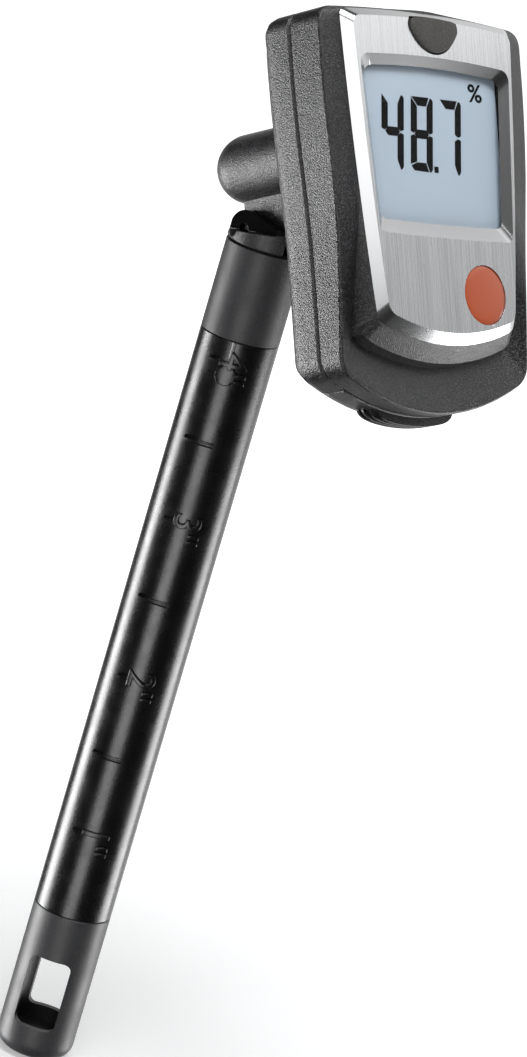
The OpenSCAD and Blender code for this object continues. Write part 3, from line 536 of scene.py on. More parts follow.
# %% Cap with its window
CAP_LEN, CAP_ROUND, CAP_WALL = 24.0, 2.6, 1.1
WINDOW_W, WINDOW_H, WINDOW_R = 6.5, 11.4, 1.2
WINDOW_DROP = 7.3
# How far the chamber reaches above and below the window
CHAMBER_ABOVE, CHAMBER_BELOW = 1.3, 2.3
SPIGOT_LEN, SPIGOT_WALL = 6.5, 1.3
SEAL_RISE, SEAL_H, SEAL_DEPTH = 3.0, 1.2, 0.7
# How far a cutter stands out past what it cuts
PAST = 1
tip = SEAM_CAP - CAP_LEN
chamber_r = PROBE_R - CAP_WALL
chamber_top = SEAM_CAP - WINDOW_DROP + CHAMBER_ABOVE
chamber_low = SEAM_CAP - WINDOW_DROP - WINDOW_H - CHAMBER_BELOW
spigot_r = bore - FIT
spigot_top = SEAM_CAP + SPIGOT_LEN
seal_low = SEAM_CAP + SEAL_RISE - SEAL_H / 2
tip_arc = [
    (PROBE_R - CAP_ROUND + CAP_ROUND * math.sin(a), tip + CAP_ROUND - CAP_ROUND * math.cos(a))
    for a in quarter_turn(12)
]


def rounded_rectangle(width, height, radius, steps=10):
    points = []
    for quadrant, (sx, sz) in enumerate([(1, 1), (-1, 1), (-1, -1), (1, -1)]):
        for k in range(steps + 1):
            a = math.pi / 2 * (quadrant + k / steps)
            x = sx * (width / 2 - radius) + radius * math.cos(a)
            z = sz * (height / 2 - radius) + radius * math.sin(a)
            points.append((x, z))
    return points


cap = lathe("sensor_cap_shell", [
    (0, tip), *tip_arc, (PROBE_R, SEAM_CAP - SEAM), (PROBE_R - SEAM, SEAM_CAP),
    (spigot_r, SEAM_CAP), (spigot_r, seal_low), (spigot_r - SEAL_DEPTH, seal_low),
    (spigot_r - SEAL_DEPTH, seal_low + SEAL_H), (spigot_r, seal_low + SEAL_H),
    (spigot_r, spigot_top), (spigot_r - SPIGOT_WALL, spigot_top),
    (spigot_r - SPIGOT_WALL, chamber_top), (chamber_r, chamber_top),
    (chamber_r, chamber_low), (0, chamber_low),
])
window_middle = SEAM_CAP - WINDOW_DROP - WINDOW_H / 2
window = rounded_rectangle(WINDOW_W, WINDOW_H, WINDOW_R)
reach = PROBE_R + PAST
ends = [[(x, y, window_middle + z) for x, z in window] for y in (-reach, reach)]
cut(cap, loft("window_cutter", ends))
finish(cap, STICK, "stick", satin_abs, ["sensor_cap"], 0.14, 3)

# %% [markdown]
# ## The raised scale
# Ticks for the inches and half inches run down the tube, raised in the moulding. They repeat, so
# Geometry Nodes make them: an arc as wide as the tick is swept with a small round profile, set on a
# line of points with the tick spacing, made real and given the tube's plastic. The tree's inputs
# are its sizes. How every tree opens and closes is the same, so two functions do that.

# %% Trees of Geometry Nodes
def open_tree(name, inputs):
    """A tree with these named inputs. Returns it and the inputs' sockets."""
    tree = bpy.data.node_groups.new(name, "GeometryNodeTree")
    tree.interface.new_socket("Geometry", in_out="OUTPUT", socket_type="NodeSocketGeometry")
    for key, kind in inputs.items():
        tree.interface.new_socket(key, in_out="INPUT", socket_type="NodeSocket" + kind)
    return tree, add(tree, "NodeGroupInput").outputs


def close_tree(tree, points, piece, material):
    """Sets the piece on the points, makes the copies real and gives them their material."""
    placed = add(tree, "GeometryNodeInstanceOnPoints", {"Points": points, "Instance": piece})
    real = add(tree, "GeometryNodeRealizeInstances", {"Geometry": placed.outputs["Instances"]})
    painted = add(tree, "GeometryNodeSetMaterial", {
        "Geometry": real.outputs["Geometry"], "Material": material,
    })
    add(tree, "NodeGroupOutput", {"Geometry": painted.outputs["Geometry"]})


def socket_id(tree, name):
    return next(s.identifier for s in tree.interface.items_tree if s.name == name)


def grown(name, tree, values, points=()):
    """A plain mesh object that a tree makes on these points, with its inputs given by name."""
    mesh = bpy.data.meshes.new(name)
    mesh.from_pydata(points, [], [])
    obj = in_scene(name, mesh)
    modifier = obj.modifiers.new("grow", "NODES")
    modifier.node_group = tree
    for key, value in values.items():
        modifier[socket_id(tree, key)] = value
    apply_modifiers(obj)
    return obj


# %% Ticks by Geometry Nodes
SCALE_TOP = 43.28
INCH = 25.4
# The middle of the scale, in degrees round the tube
SCALE_FACES = -81.3
RIDGE_R, RIDGE_RISE = 0.42, 0.38
ARC_STEPS, RIDGE_STEPS = 40, 16
# Name, number, first height, and where a tick starts and how far it sweeps in degrees
TICKS = (
    ("half_inch_ticks", 3, SCALE_TOP - INCH / 2, -36.5, 43.8),
    ("whole_inch_ticks", 4, SCALE_TOP, -32, 14),
)
ticks, given = open_tree("ticks on a tube", {
    "Count": "Int", "First height": "Float", "Spacing": "Float", "Path radius": "Float",
    "Ridge radius": "Float", "Start angle": "Float", "Sweep": "Float", "Material": "Material",
})
start = add(ticks, "ShaderNodeCombineXYZ", {"Z": given["First height"]}).outputs["Vector"]
step = add(ticks, "ShaderNodeCombineXYZ", {"Z": given["Spacing"]}).outputs["Vector"]
line = add(ticks, "GeometryNodeMeshLine", {
    "Count": given["Count"], "Start Location": start, "Offset": step,
})
arc = add(ticks, "GeometryNodeCurveArc", {
    "Resolution": ARC_STEPS, "Radius": given["Path radius"],
    "Start Angle": given["Start angle"], "Sweep Angle": given["Sweep"],
})
ring = add(ticks, "GeometryNodeCurvePrimitiveCircle", {
    "Resolution": RIDGE_STEPS, "Radius": given["Ridge radius"],
})
swept = add(ticks, "GeometryNodeCurveToMesh", {
    "Curve": arc.outputs["Curve"], "Profile Curve": ring.outputs["Curve"], "Fill Caps": True,
})
close_tree(ticks, line.outputs["Mesh"], swept.outputs["Mesh"], given["Material"])
for name, count, first, turn, sweep in TICKS:
    ridges = grown(name, ticks, {
        "Count": count, "First height": first, "Spacing": -INCH, "Material": gloss_abs,
        "Path radius": PROBE_R + RIDGE_RISE - RIDGE_R, "Ridge radius": RIDGE_R,
        "Start angle": math.radians(SCALE_FACES + turn), "Sweep": math.radians(sweep),
    })
    finish(ridges, STICK, "stick", gloss_abs, (), 0)

# %% [markdown]
# ## Figures bent round the tube
# The inch figures lie on their side and follow the curve of the tube. A text object gives the
# letter's outline and its round shoulders; it becomes a mesh, its long edges are divided so that it
# can bend, and each point is then moved to its angle and height on the tube. Its thickness becomes
# the relief.

# %% Inch figures
FIGURE_SIZE = 5.7
FIGURE_RELIEF, FIGURE_ROUND = 0.4, 0.16
FIGURE_BOLD = -0.06
FIGURE_TURN = math.radians(4)
# The middle of a digit, as shares of the size
DIGIT_ACROSS, DIGIT_UP = 0.32, 0.36
FIGURE_EDGE = 0.45


def text_mesh(name, words, size, thickness, bold, shoulder=0.0):
    """Letters as a closed mesh in x and y, as thick as asked, with round shoulders if wanted."""
    source = in_scene(name, adjust(
        bpy.data.curves.new(name, "FONT"), body=words, size=size, offset=bold, resolution_u=6,
        extrude=thickness / 2 - shoulder, bevel_depth=shoulder, bevel_resolution=3,
    ))
    graph = bpy.context.evaluated_depsgraph_get()
    mesh = bpy.data.meshes.new_from_object(source.evaluated_get(graph))
    bpy.data.objects.remove(source)
    return mesh


def divide(shape, longest):
    """Splits the edges of a mesh until none is longer than this."""
    bmesh.ops.triangulate(shape, faces=shape.faces)
    for _ in range(5):
        long_edges = [edge for edge in shape.edges if edge.calc_length() > longest]
        if not long_edges:
            break
        bmesh.ops.subdivide_edges(shape, edges=long_edges, cuts=1)
        bmesh.ops.triangulate(shape, faces=shape.faces)


def wrap(mesh, height, turn):
    """Bends a flat mesh round the tube: x runs down the tube, y round it, z out of it."""
    for vert in mesh.vertices:
        along, round_it, out = vert.co
        angle = turn + round_it / PROBE_R
        radius = PROBE_R + out
        vert.co = (radius * math.cos(angle), radius * math.sin(angle), height - along)


def ready_to_bend(shape):
    """One skin whose edges are short enough to follow the tube."""
    merge(shape, LOOSE)
    divide(shape, FIGURE_EDGE)


figure_mesh = bpy.data.meshes.new("inch_figures")
for value in (4, 3, 2, 1):
    words = f'{value}"'
    letters = text_mesh("figure", words, FIGURE_SIZE, 2 * FIGURE_RELIEF, FIGURE_BOLD, FIGURE_ROUND)
    letters.transform(Matrix.Translation((-DIGIT_ACROSS * FIGURE_SIZE, -DIGIT_UP * FIGURE_SIZE, 0)))
    reshape(letters, ready_to_bend)
    wrap(letters, SCALE_TOP - (4 - value) * INCH, math.radians(SCALE_FACES) + FIGURE_TURN)
    reshape(figure_mesh, lambda shape: shape.from_mesh(letters))
    bpy.data.meshes.remove(letters)
reshape(figure_mesh, face_out)
inch_figures = in_scene("inch_figures", figure_mesh)
finish(inch_figures, STICK, "stick", gloss_abs, (), 0)

# %% [markdown]
# ## The round pad under the seam
# Just under the sleeve, a small round pad stands on the tube, with a thin rib that runs up from it to
# the seam. Both are flat shapes bent round the tube in the same way as the figures.

# %% Pad and rib
PAD_R, PAD_Z, PAD_EDGE = 1.6, 41.45, 0.6
PAD_TURN = math.radians(SCALE_FACES - 3.8)
RIB_W = 0.55
# Each ring of the pad: its share of the radius and its height out of the tube
PAD_RINGS = ((1, -0.2), (1, 0.14), (0.97, 0.26), (0.9, 0.32))
# Each ring of the rib: how far its sides draw in, and its height
RIB_RINGS = ((0, -0.2), (0, 0.14), (0.12, 0.26))
rim = [(PAD_R * math.cos(a), PAD_R * math.sin(a)) for a in full_turn(48)]
pad = loft("pad", [[(x * share, y * share, out) for x, y in rim] for share, out in PAD_RINGS])
# In x, which runs down the tube: from the seam into the pad
rib_top, rib_foot = -(SEAM_SLEEVE - PAD_Z) + SEAM, -PAD_R * 0.7
rib = loft("rib", [
    [(x, y, out) for x, y in rectangle(rib_top, rib_foot, inset - RIB_W / 2, RIB_W / 2 - inset)]
    for inset, out in RIB_RINGS
])
cut(pad, rib, "UNION")
reshape(pad.data, lambda shape: divide(shape, PAD_EDGE))
wrap(pad.data, PAD_Z, PAD_TURN)
pad.name = "tube_pad"
finish(pad, STICK, "stick", gloss_abs, (), 0)

# %% [markdown]
# ## Neck and arm
# The fork, with its two flat cheeks, and the arm that folds between them are moulded in the grained
# plastic. Their shapes are right in the model, so a merged copy with bevelled edges is enough.

# %% Fork and arm
NECK = Matrix.Translation((0, 0, SEAM_NECK * MM)) @ STICK
fork = solid_of("neck_fork", "folding_neck", NECK)
finish(fork, NECK, "neck", fork_abs, ["neck_fork"], 0.1, 3)
arm = solid_of("hinge_arm", "head_arm", HEAD)
finish(arm, HEAD, "head", hinge_abs, ["hinge_arm"], 0.2, 3)

# %% [markdown]
# ## Outlines of the head
# The case narrows downwards in a soft S, its top is a shallow arch and its bottom a deeper one. One
# function writes such an outline from a width rule, two arches and two corner radii. All rings of
# the shells and the bezel come from it, so neighbours always match.

# %% Outline functions
CASE_TOP, CASE_TOP_ARCH = 15.7, 1.0
CASE_LOW, CASE_LOW_ARCH = 35.2, 5.6
CASE_CORNERS, LEAST_CORNER = (2.5, 2.2), 0.8
# Half the case's width low and high, and the heights between which it changes
CASE_HALF_LOW, CASE_HALF_TOP = 19.65, 21.1
WAIST_LOW, WAIST_TOP = -21, 8
# Half the bezel's width at its top, and how it narrows with the drop and the drop squared
BEZEL_TOP, BEZEL_HALF, BEZEL_TAPER, BEZEL_BOW = 15.4, 16.5, 0.0402, 0.000895
# The bezel's edges above the case's top, and its bottom, each in the middle and at the corners
BEZEL_OVER, BEZEL_FOOT = (0.15, -0.6), (-29.85, -27.4)
BEZEL_CORNERS = (1.4, 1.4)
ARCH_STEPS, CORNER_STEPS, SIDE_STEPS = 12, 8, 22


def mix(a, b, t):
    return a + (b - a) * t


def ease(a, b, value):
    t = min(1.0, max(0.0, (value - a) / (b - a)))
    return t * t * (3 - 2 * t)


def arch(middle, edge, half, x):
    return middle + (edge - middle) * (x / half) ** 2


def corner(a, tip_point, b, t):
    u = 1 - t
    return tuple(u * u * a[k] + 2 * t * u * tip_point[k] + t * t * b[k] for k in (0, 1))


def case_half(z):
    return mix(CASE_HALF_LOW, CASE_HALF_TOP, ease(WAIST_LOW, WAIST_TOP, z))


def bezel_half(z):
    drop = max(0.0, BEZEL_TOP - z)
    return BEZEL_HALF - BEZEL_TAPER * drop - BEZEL_BOW * drop * drop


def outline(half, top, low, radii):
    """A closed outline. top and low are (height in the middle, height at the corners)."""
    xt, xb = half(top[1]), half(low[1])
    zt, zb = top[1] - radii[0], low[1] + radii[1]
    top_end = (xt - radii[0], arch(top[0], top[1], xt, xt - radii[0]))
    low_end = (xb - radii[1], arch(low[0], low[1], xb, xb - radii[1]))
    points = []
    for k in range(ARCH_STEPS):
        x = top_end[0] * k / ARCH_STEPS
        points.append((x, arch(top[0], top[1], xt, x)))
    for k in range(CORNER_STEPS):
        points.append(corner(top_end, (xt, top[1]), (half(zt), zt), k / CORNER_STEPS))
    for k in range(SIDE_STEPS):
        z = mix(zt, zb, k / SIDE_STEPS)
        points.append((half(z), z))
    for k in range(CORNER_STEPS):
        points.append(corner((half(zb), zb), (xb, low[1]), low_end, k / CORNER_STEPS))
    for k in range(ARCH_STEPS + 1):
        x = low_end[0] * (1 - k / ARCH_STEPS)
        points.append((x, arch(low[0], low[1], xb, x)))
    return points + [(-x, z) for x, z in points[-2:0:-1]]


def case_ring(inset):
    return outline(
        lambda z: case_half(z) - inset,
        (CASE_TOP + CASE_TOP_ARCH - inset, CASE_TOP - inset),
        (-CASE_LOW - CASE_LOW_ARCH + inset, -CASE_LOW + inset),
        [max(LEAST_CORNER, radius - inset) for radius in CASE_CORNERS],
    )


def bezel_ring(grow, top_grow, drop):
    return outline(
        lambda z: bezel_half(z) + grow,
        [CASE_TOP + over + top_grow for over in BEZEL_OVER],
        (BEZEL_FOOT[0] - drop, BEZEL_FOOT[1] - 0.75 * drop),
        BEZEL_CORNERS,
    )


def disc_ring(radius, x, z, steps=96):
    return [(x + radius * math.cos(a), z + radius * math.sin(a)) for a in full_turn(steps)]


def at_depth(ring, depth):
    return [(x, -depth, z) for x, z in ring]


def slab(name, ring, back, front):
    return loft(name, [at_depth(ring, back), at_depth(ring, front)])


print("outline points", len(case_ring(0)))

# %% [markdown]
# ## Rings of the front
# The front shell is one loft: from the parting groove up the rim, down into the moat that opens
# towards the bottom, up the side of the raised middle and on to the bezel's edge. The moat's depth is
# a function of height, so the rings flow from flush at the top to full depth at the bottom. The lens
# and the key have rings of their own, which also cut the openings that they sit in.

# %% Rim, moat, lens and key
REAR_DEPTH = 6.5
GROOVE = 0.4
BEZEL_DEPTH, FRONT_DEPTH = 13.2, 14.6
SIDE_BEVEL, TOP_BEVEL, LOW_BEVEL = 1.25, 0.4, 1.55
# The rim's depth at the top and the foot of the case, and where it starts to fall and how far on
RIM_TOP, RIM_FOOT, RIM_FALL_Z, RIM_FALL_LEN = 12.5, 10.1, -5, 35
MOAT_DEPTH, SURROUND_DEPTH = 9.2, 11.0
MOAT_FROM, MOAT_FULL = -10, -30
# How far the surround stands out past the bezel at the foot, which starts at this height
SURROUND_DROP, SIDE_GAP, FOOT_Z = 2.3, 1.5, -28
LENS_HALF, LENS_TOP, LENS_ARCH, LENS_LOW = (13.9, 15.3), 8.7, 0.5, -15.2
LENS_CORNERS = (1.0, 0.8)
KEY_W, KEY_H, KEY_DROP = 10.0, 5.0, 0.35
# The key's shoulder: how far in and how deep it starts and ends, and how full the flank is
KEY_SHOULDER, KEY_ARCH, KEY_SHOULDER_END, KEY_FLANK = 1.3, 0.2, (0.1, 1.7), 0.62
edge_ring = bezel_ring(SIDE_BEVEL, TOP_BEVEL, LOW_BEVEL)


def rim_ring(inset, drop):
    ring = []
    for x, z in case_ring(inset):
        fall = min(1.0, max(0.0, (RIM_FALL_Z - z) / RIM_FALL_LEN))
        depth = mix(RIM_TOP, RIM_FOOT, 0.45 * fall + 0.55 * fall * fall)
        ring.append((x, -depth + drop, z))
    return ring


def moat_ring(close, far, floor_depth):
    """A ring round the bezel's edge, a small gap away at the top and a wide one at the bottom."""
    ring = []
    for (qx, qz), (px, pz) in zip(edge_ring, case_ring(0)):
        opened = ease(MOAT_FROM, MOAT_FULL, qz)
        gap = mix(close, (SURROUND_DROP if qz < FOOT_Z else SIDE_GAP) + far, opened)
        way = math.hypot(px - qx, pz - qz)
        step = 0 if way < 0.01 else gap / way
        depth = mix(BEZEL_DEPTH - 0.2 * close, floor_depth, opened)
        ring.append((qx + (px - qx) * step, -depth, qz + (pz - qz) * step))
    return ring


def lens_ring(grow):
    return outline(
        lambda z: mix(*LENS_HALF, (z - LENS_LOW) / (LENS_TOP - LENS_LOW)) + grow,
        (LENS_TOP + LENS_ARCH + grow, LENS_TOP + grow),
        (LENS_LOW - grow, LENS_LOW - grow),
        LENS_CORNERS,
    )


def key_ring(grow, steps=14):
    """A half round whose top follows the bezel's top edge."""
    r = KEY_W / 2 + grow
    top = CASE_TOP - KEY_DROP + grow
    low = top - KEY_H - 2 * grow
    arch_end = r - KEY_SHOULDER
    right = [(arch_end * u, top - KEY_ARCH * u * u) for u in (0, 1 / 3, 2 / 3)]
    shoulder_end = (r - KEY_SHOULDER_END[0], top - KEY_SHOULDER_END[1])
    shoulder = ((arch_end, top - KEY_ARCH), (r, top - KEY_ARCH), shoulder_end)
    right += [corner(*shoulder, k / 8) for k in range(9)]
    flank = (shoulder_end, (r * KEY_FLANK, low), (0, low))
    right += [corner(*flank, k / steps) for k in range(1, steps + 1)]
    return right + [(-x, z) for x, z in right[-2:0:-1]]


print("key ring points", len(key_ring(0)))

# %% Front shell
CASE_WALL, RIM_WALL, FRONT_WALL = 1.7, 1.0, 1.2
# The rim's round shoulder: how far in each ring is, and how far below the top
RIM_ROUND = ((0, 0.45), (0.05, 0.25), (0.2, 0.06), (0.45, 0))
LCD_HALF, LCD_TOP, LCD_LOW = 14.4, 8.8, -15.1
LCD_FRONT = 12.8
LENS_BACK, LENS_FRONT = 12.85, 13.65
LCD_PLAY, LENS_PLAY, KEY_PLAY = 0.2, 0.15, 0.25
# How far a seat goes deeper than the piece that lies in it
SEAT = 0.05
CELL_ROOM, CELL_ROOM_FRONT = rectangle(-12.9, 12.9, -37.2, -27.5), 7.85
MIDDLE_TOP, MIDDLE_ARCH, MIDDLE_FOOT = CASE_TOP - 1.1, 0.7, (-29.8, -28)
front = loft("front_case", [
    at_depth(case_ring(GROOVE), REAR_DEPTH),
    at_depth(case_ring(0), REAR_DEPTH + GROOVE),
    *(rim_ring(inset, drop) for inset, drop in RIM_ROUND),
    moat_ring(0.45, 0.35, MOAT_DEPTH),
    moat_ring(0.3, 0, SURROUND_DEPTH),
    at_depth(edge_ring, BEZEL_DEPTH),
])
middle_ring = outline(
    lambda z: bezel_half(z) + 0.05,
    (MIDDLE_TOP, MIDDLE_TOP - MIDDLE_ARCH), MIDDLE_FOOT, BEZEL_CORNERS,
)
behind = REAR_DEPTH - PAST
before = BEZEL_DEPTH + PAST
pocket_half = LCD_HALF + LCD_PLAY
pocket = rectangle(-pocket_half, pocket_half, LCD_LOW - LCD_PLAY, LCD_TOP + LCD_PLAY)
for cutter in (
    ("hollow", middle_ring, behind, BEZEL_DEPTH - FRONT_WALL),
    ("rim_hollow", case_ring(CASE_WALL), behind, REAR_DEPTH + RIM_WALL),
    ("cell_room", CELL_ROOM, behind, CELL_ROOM_FRONT),
    ("pocket", pocket, REAR_DEPTH, before),
    ("lens_seat", lens_ring(LENS_PLAY), LENS_BACK - SEAT, before),
    ("key_hole", key_ring(KEY_PLAY), REAR_DEPTH, before),
):
    cut(front, slab(*cutter))
finish(front, HEAD, "head", eroded_abs, ["front_shell"], 0.1)

# %% [markdown]
# ## Bezel
# The bezel is a plate with bevelled sides and a window whose own bevels fall to the lens. The window
# cutter is a loft that widens forwards. After the cuts every edge gets a narrow bevel: on brushed
# metal that thin bright line is what tells the eye where the faces meet.

# %% Bezel plate
WINDOW_HALF = (13.9, 15.6)
WINDOW_TOP, WINDOW_ARCH, WINDOW_LOW, WINDOW_LOW_ARCH = 9.0, 0.7, 16.1, 0.2
WINDOW_SIDE_BEVEL, WINDOW_LOW_BEVEL = 1.45, 2.2
WINDOW_CORNERS = (1.8, 1.2)
BADGE_D, BADGE_X, BADGE_Z, BADGE_SUNK = 8.6, 7.05, -24.05, 0.5
# How far the top bevel is cut down into the front, so that the key reaches into it
TOP_CUT = 0.75
# The window's lower bevel is a shallow one, so edges count as sharp from a smaller angle here
SHALLOW = math.radians(18)


def window_ring(t, depth):
    """The window's outline, from its front edge at t 0 to its foot on the lens at t 1."""
    side, low = WINDOW_SIDE_BEVEL * t, WINDOW_LOW_BEVEL * t
    ring = outline(
        lambda z: mix(*WINDOW_HALF, (z + WINDOW_LOW) / (WINDOW_TOP + WINDOW_LOW)) - side,
        (WINDOW_TOP + WINDOW_ARCH - side, WINDOW_TOP - side),
        (-WINDOW_LOW - WINDOW_LOW_ARCH + low, -WINDOW_LOW + low),
        WINDOW_CORNERS,
    )
    return at_depth(ring, depth)


bezel = loft("bezel", [
    at_depth(edge_ring, BEZEL_DEPTH + SEAT),
    at_depth(bezel_ring(0, -TOP_CUT, 0), FRONT_DEPTH),
])
behind = BEZEL_DEPTH - PAST
before = FRONT_DEPTH + PAST
beyond = (before - LENS_FRONT) / (FRONT_DEPTH - LENS_FRONT)
badge_place = disc_ring(BADGE_D / 2 + FIT, BADGE_X, BADGE_Z)
cut(bezel, loft("window", [window_ring(1, LENS_FRONT), window_ring(1 - beyond, before)]))
cut(bezel, slab("lens_recess", lens_ring(LENS_PLAY), behind, LENS_FRONT + SEAT))
cut(bezel, slab("key_opening", key_ring(KEY_PLAY), behind, before))
cut(bezel, slab("badge_recess", badge_place, FRONT_DEPTH - BADGE_SUNK, before))
finish(bezel, HEAD, "head", brushed_aluminium, ["bezel_plate"], sharp=SHALLOW)

# %% [markdown]
# ## Rear shell and battery cover
# Both come from the same rounded back. The cover slides down off the shell, and its ribbed thumb tab
# shows under the case. Merged copies keep the fit that the model already has.

# %% Rear shell and cover
rear = solid_of("rear_shell", "rear_case", HEAD)
finish(rear, HEAD, "head", eroded_abs, ["rear_shell"], 0.1)
cover = solid_of("battery_cover", "sliding_cover", HEAD)
finish(cover, HEAD, "cover", eroded_abs, ["battery_cover"], 0.08)

# %% [markdown]
# ## Key
# The power key is a small shield with a slightly crowned face and soft edges, so it is a loft whose
# last rings draw in while they rise. Its stem reaches back to the dome on the board.

# %% Power key
KEY_PROUD = 0.5
KEY_BACK = BEZEL_DEPTH - 0.6
# Each ring of the crown: its share of the outline and how deep it lies under the top
KEY_CROWN = ((1, 0.3), (0.985, 0.18), (0.95, 0.1), (0.8, 0.05), (0.5, 0.015), (0.2, 0))
STEM_R, STEM_DROP, STEM_END = 1.2, 3.4, 11.15
key_top = FRONT_DEPTH + KEY_PROUD
key_mid = CASE_TOP - KEY_DROP - KEY_H / 2
key_outline = key_ring(0)
key = loft("power_key", [
    [(x * share, -depth, key_mid + (z - key_mid) * share) for x, z in key_outline]
    for share, depth in ((1, KEY_BACK), *((share, key_top - deep) for share, deep in KEY_CROWN))
])
stem = disc_ring(STEM_R, 0, CASE_TOP - STEM_DROP, 48)
cut(key, slab("stem", stem, STEM_END, KEY_BACK + 0.1), "UNION")
finish(key, HEAD, "button", key_abs, ["power_button"], 0)

# %% [markdown]
# ## Badge place
# A domed disc sits in the bezel's round recess. It is a single plain colour under clear resin: the
# resin's dome makes one soft highlight, which is what the eye reads as a badge.

# %% Badge disc
BADGE_WALL, BADGE_DOME = 0.25, 0.3
coat = {"Coat_Weight": 0.35, "Coat_Roughness": 0.12, "Coat_IOR": 1.5}
resin_orange, _ = plain("resin_over_orange", "#a3451f", 0.4, **coat)
disc_r = BADGE_D / 2
dome = [(disc_r * math.cos(a), BADGE_WALL + BADGE_DOME * math.sin(a)) for a in quarter_turn(16)]
badge = lathe("badge_dome", [(0, 0), (disc_r, 0), *dome], 96)
badge_back = FRONT_DEPTH - BADGE_SUNK + FIT
stand = Matrix.Translation((BADGE_X, -badge_back, BADGE_Z)) @ TO_FRONT
finish(badge, HEAD @ stand, "head", resin_orange, ["badge_disc"], 0)

# %% [markdown]
# ## Display
# The display is a flat sandwich of glass with a pale blue reflector. Its figures are seven-segment
# digits that lean a little. The segments meet in mitres with a thin light gap between them, so each
# of the seven has its own outline, and a digit is a list of the segments that are lit.

# %% Display glass and segments
lcd_glass, _ = plain("lcd_reflector", "#b5c5d4", 0.5, Coat_Weight=0.2, Coat_Roughness=0.1, Coat_IOR=1.5)
lcd_ink, _ = plain("lcd_ink", "#08080a", 0.6, Specular_IOR_Level=0.1)
lcd = solid_of("lcd_panel", "display_glass", HEAD)
finish(lcd, HEAD, "head", lcd_glass, ["lcd_panel"], 0.05)

DIGIT_W, DIGIT_H, DIGIT_LEAN = 4.6, 10.8, 0.1
STROKE, SEGMENT_GAP = 1.3, 0.2
SEGMENTS = {"4": "bcfg", "7": "abc", "8": "abcdefg"}
# The digits' feet, and each digit with its left side
DIGITS_LOW = -6.6
READING = (("4", -10.85), ("8", -4.8), ("7", 1.15))
DECIMAL_POINT = rectangle(0.15, 1.05, -6.55, -5.65)
PERCENT_SIZE, PERCENT_BOLD, PERCENT_WIDER = 3.6, 0.07, 1.22
PERCENT_X, PERCENT_Z = 8.45, 4.45
# The ink stands out of the glass by this much, and its foot is sunk a little
INK, INK_FOOT = 0.02, 0.01


def segment(name):
    """The outline of one of the seven segments, before the digit leans."""
    w, h, s = DIGIT_W, DIGIT_H, STROKE
    half, mid = s / 2, h / 2
    t = SEGMENT_GAP / 2
    dip, rise = 0.75 * half, 0.35 * half + t
    return {
        "a": [(t, h), (w - 0.6 * s - t, h), (w - s - t, h - s), (s + t, h - s)],
        "b": [(w - half, h - t), (w - 0.25 * s, h - t), (w, h - 0.4 * s), (w, mid + rise),
              (w - half, mid + t), (w - s, mid + dip), (w - s, h - s - t)],
        "c": [(w - s, mid - dip), (w - half, mid - t), (w, mid - rise), (w, 0.35 * s),
              (w - 0.25 * s, 0), (w - 0.45 * s, 0), (w - s, s + t)],
        "d": [(0.1 * s, 0.6 * s), (0.6 * s, 0.06 * s), (w - half - t, 0), (w - s - t, s), (s, s)],
        "e": [(0, mid - rise), (half, mid - t), (s, mid - dip), (s, s + t), (0, 0.66 * s + t)],
        "f": [(0, h - t), (s, h - s - t), (s, mid + dip), (half, mid + t), (0, mid + rise)],
        "g": [(half + t, mid), (s + t, mid + half), (w - s - t, mid + half), (w - half - t, mid),
              (w - s - t, mid - half), (s + t, mid - half)],
    }[name]


shapes = [
    [(left + x + DIGIT_LEAN * z, DIGITS_LOW + z) for x, z in segment(name)]
    for value, left in READING for name in SEGMENTS[value]
]
shapes.append(DECIMAL_POINT)
points, faces = [], []
for shape_points in shapes:
    start, size = len(points), len(shape_points)
    for level in (LCD_FRONT - INK_FOOT, LCD_FRONT + INK):
        points += at_depth(shape_points, level)
    faces.append(tuple(range(start, start + size)))
    faces.append(tuple(range(start + size, start + 2 * size)))
    for k in range(size):
        j = (k + 1) % size
        faces.append((start + k, start + j, start + size + j, start + size + k))
segments = mesh_object("display_figures", points, faces)
percent = text_mesh("percent", "%", PERCENT_SIZE, 2 * INK, PERCENT_BOLD)
percent_place = Matrix.Translation((PERCENT_X, -LCD_FRONT, PERCENT_Z))
wider = Matrix.Scale(PERCENT_WIDER, 4, (1, 0, 0))
percent.transform(percent_place @ wider @ TO_FRONT)
reshape(segments.data, lambda shape: shape.from_mesh(percent))
finish(segments, HEAD, "head", lcd_ink, (), 0)

# %% [markdown]
# ## Lens
# A clear acrylic pane lies over the display. A pane that bends light would leave the display dark,
# because its shadow would block the lamps, so the pane lets most light straight through and only
# adds its reflection.

# %% Lens
lens_clear, _ = plain("clear_acrylic", "#0a0d10", 0.03, IOR=1.49, Alpha=0.06)
lens = slab("display_lens_pane", lens_ring(0), LENS_BACK, LENS_FRONT)
finish(lens, HEAD, "head", lens_clear, ["display_lens"], 0.05)

# %% [markdown]
# ## Screws
# Four screws hold the shells from behind, sunk in counterbores. One screw is turned on the lathe and
# gets a cross recess; Geometry Nodes set it on four points, so all are the same and no copy is made
# by hand.

# %% Case screws
SCREW_R, SCREW_POINT, SCREW_HEAD_R, SCREW_HEAD_T, SCREW_CROWN = 0.8, 0.3, 1.75, 1.2, 0.35
SCREW_SEAT, SCREW_LEN, SCREW_TAPER = 4.2, 6.0, 0.5
SCREW_PLACES = [(18.4, 11.5), (-18.4, 11.5), (17.2, -14.0), (-17.2, -14.0)]
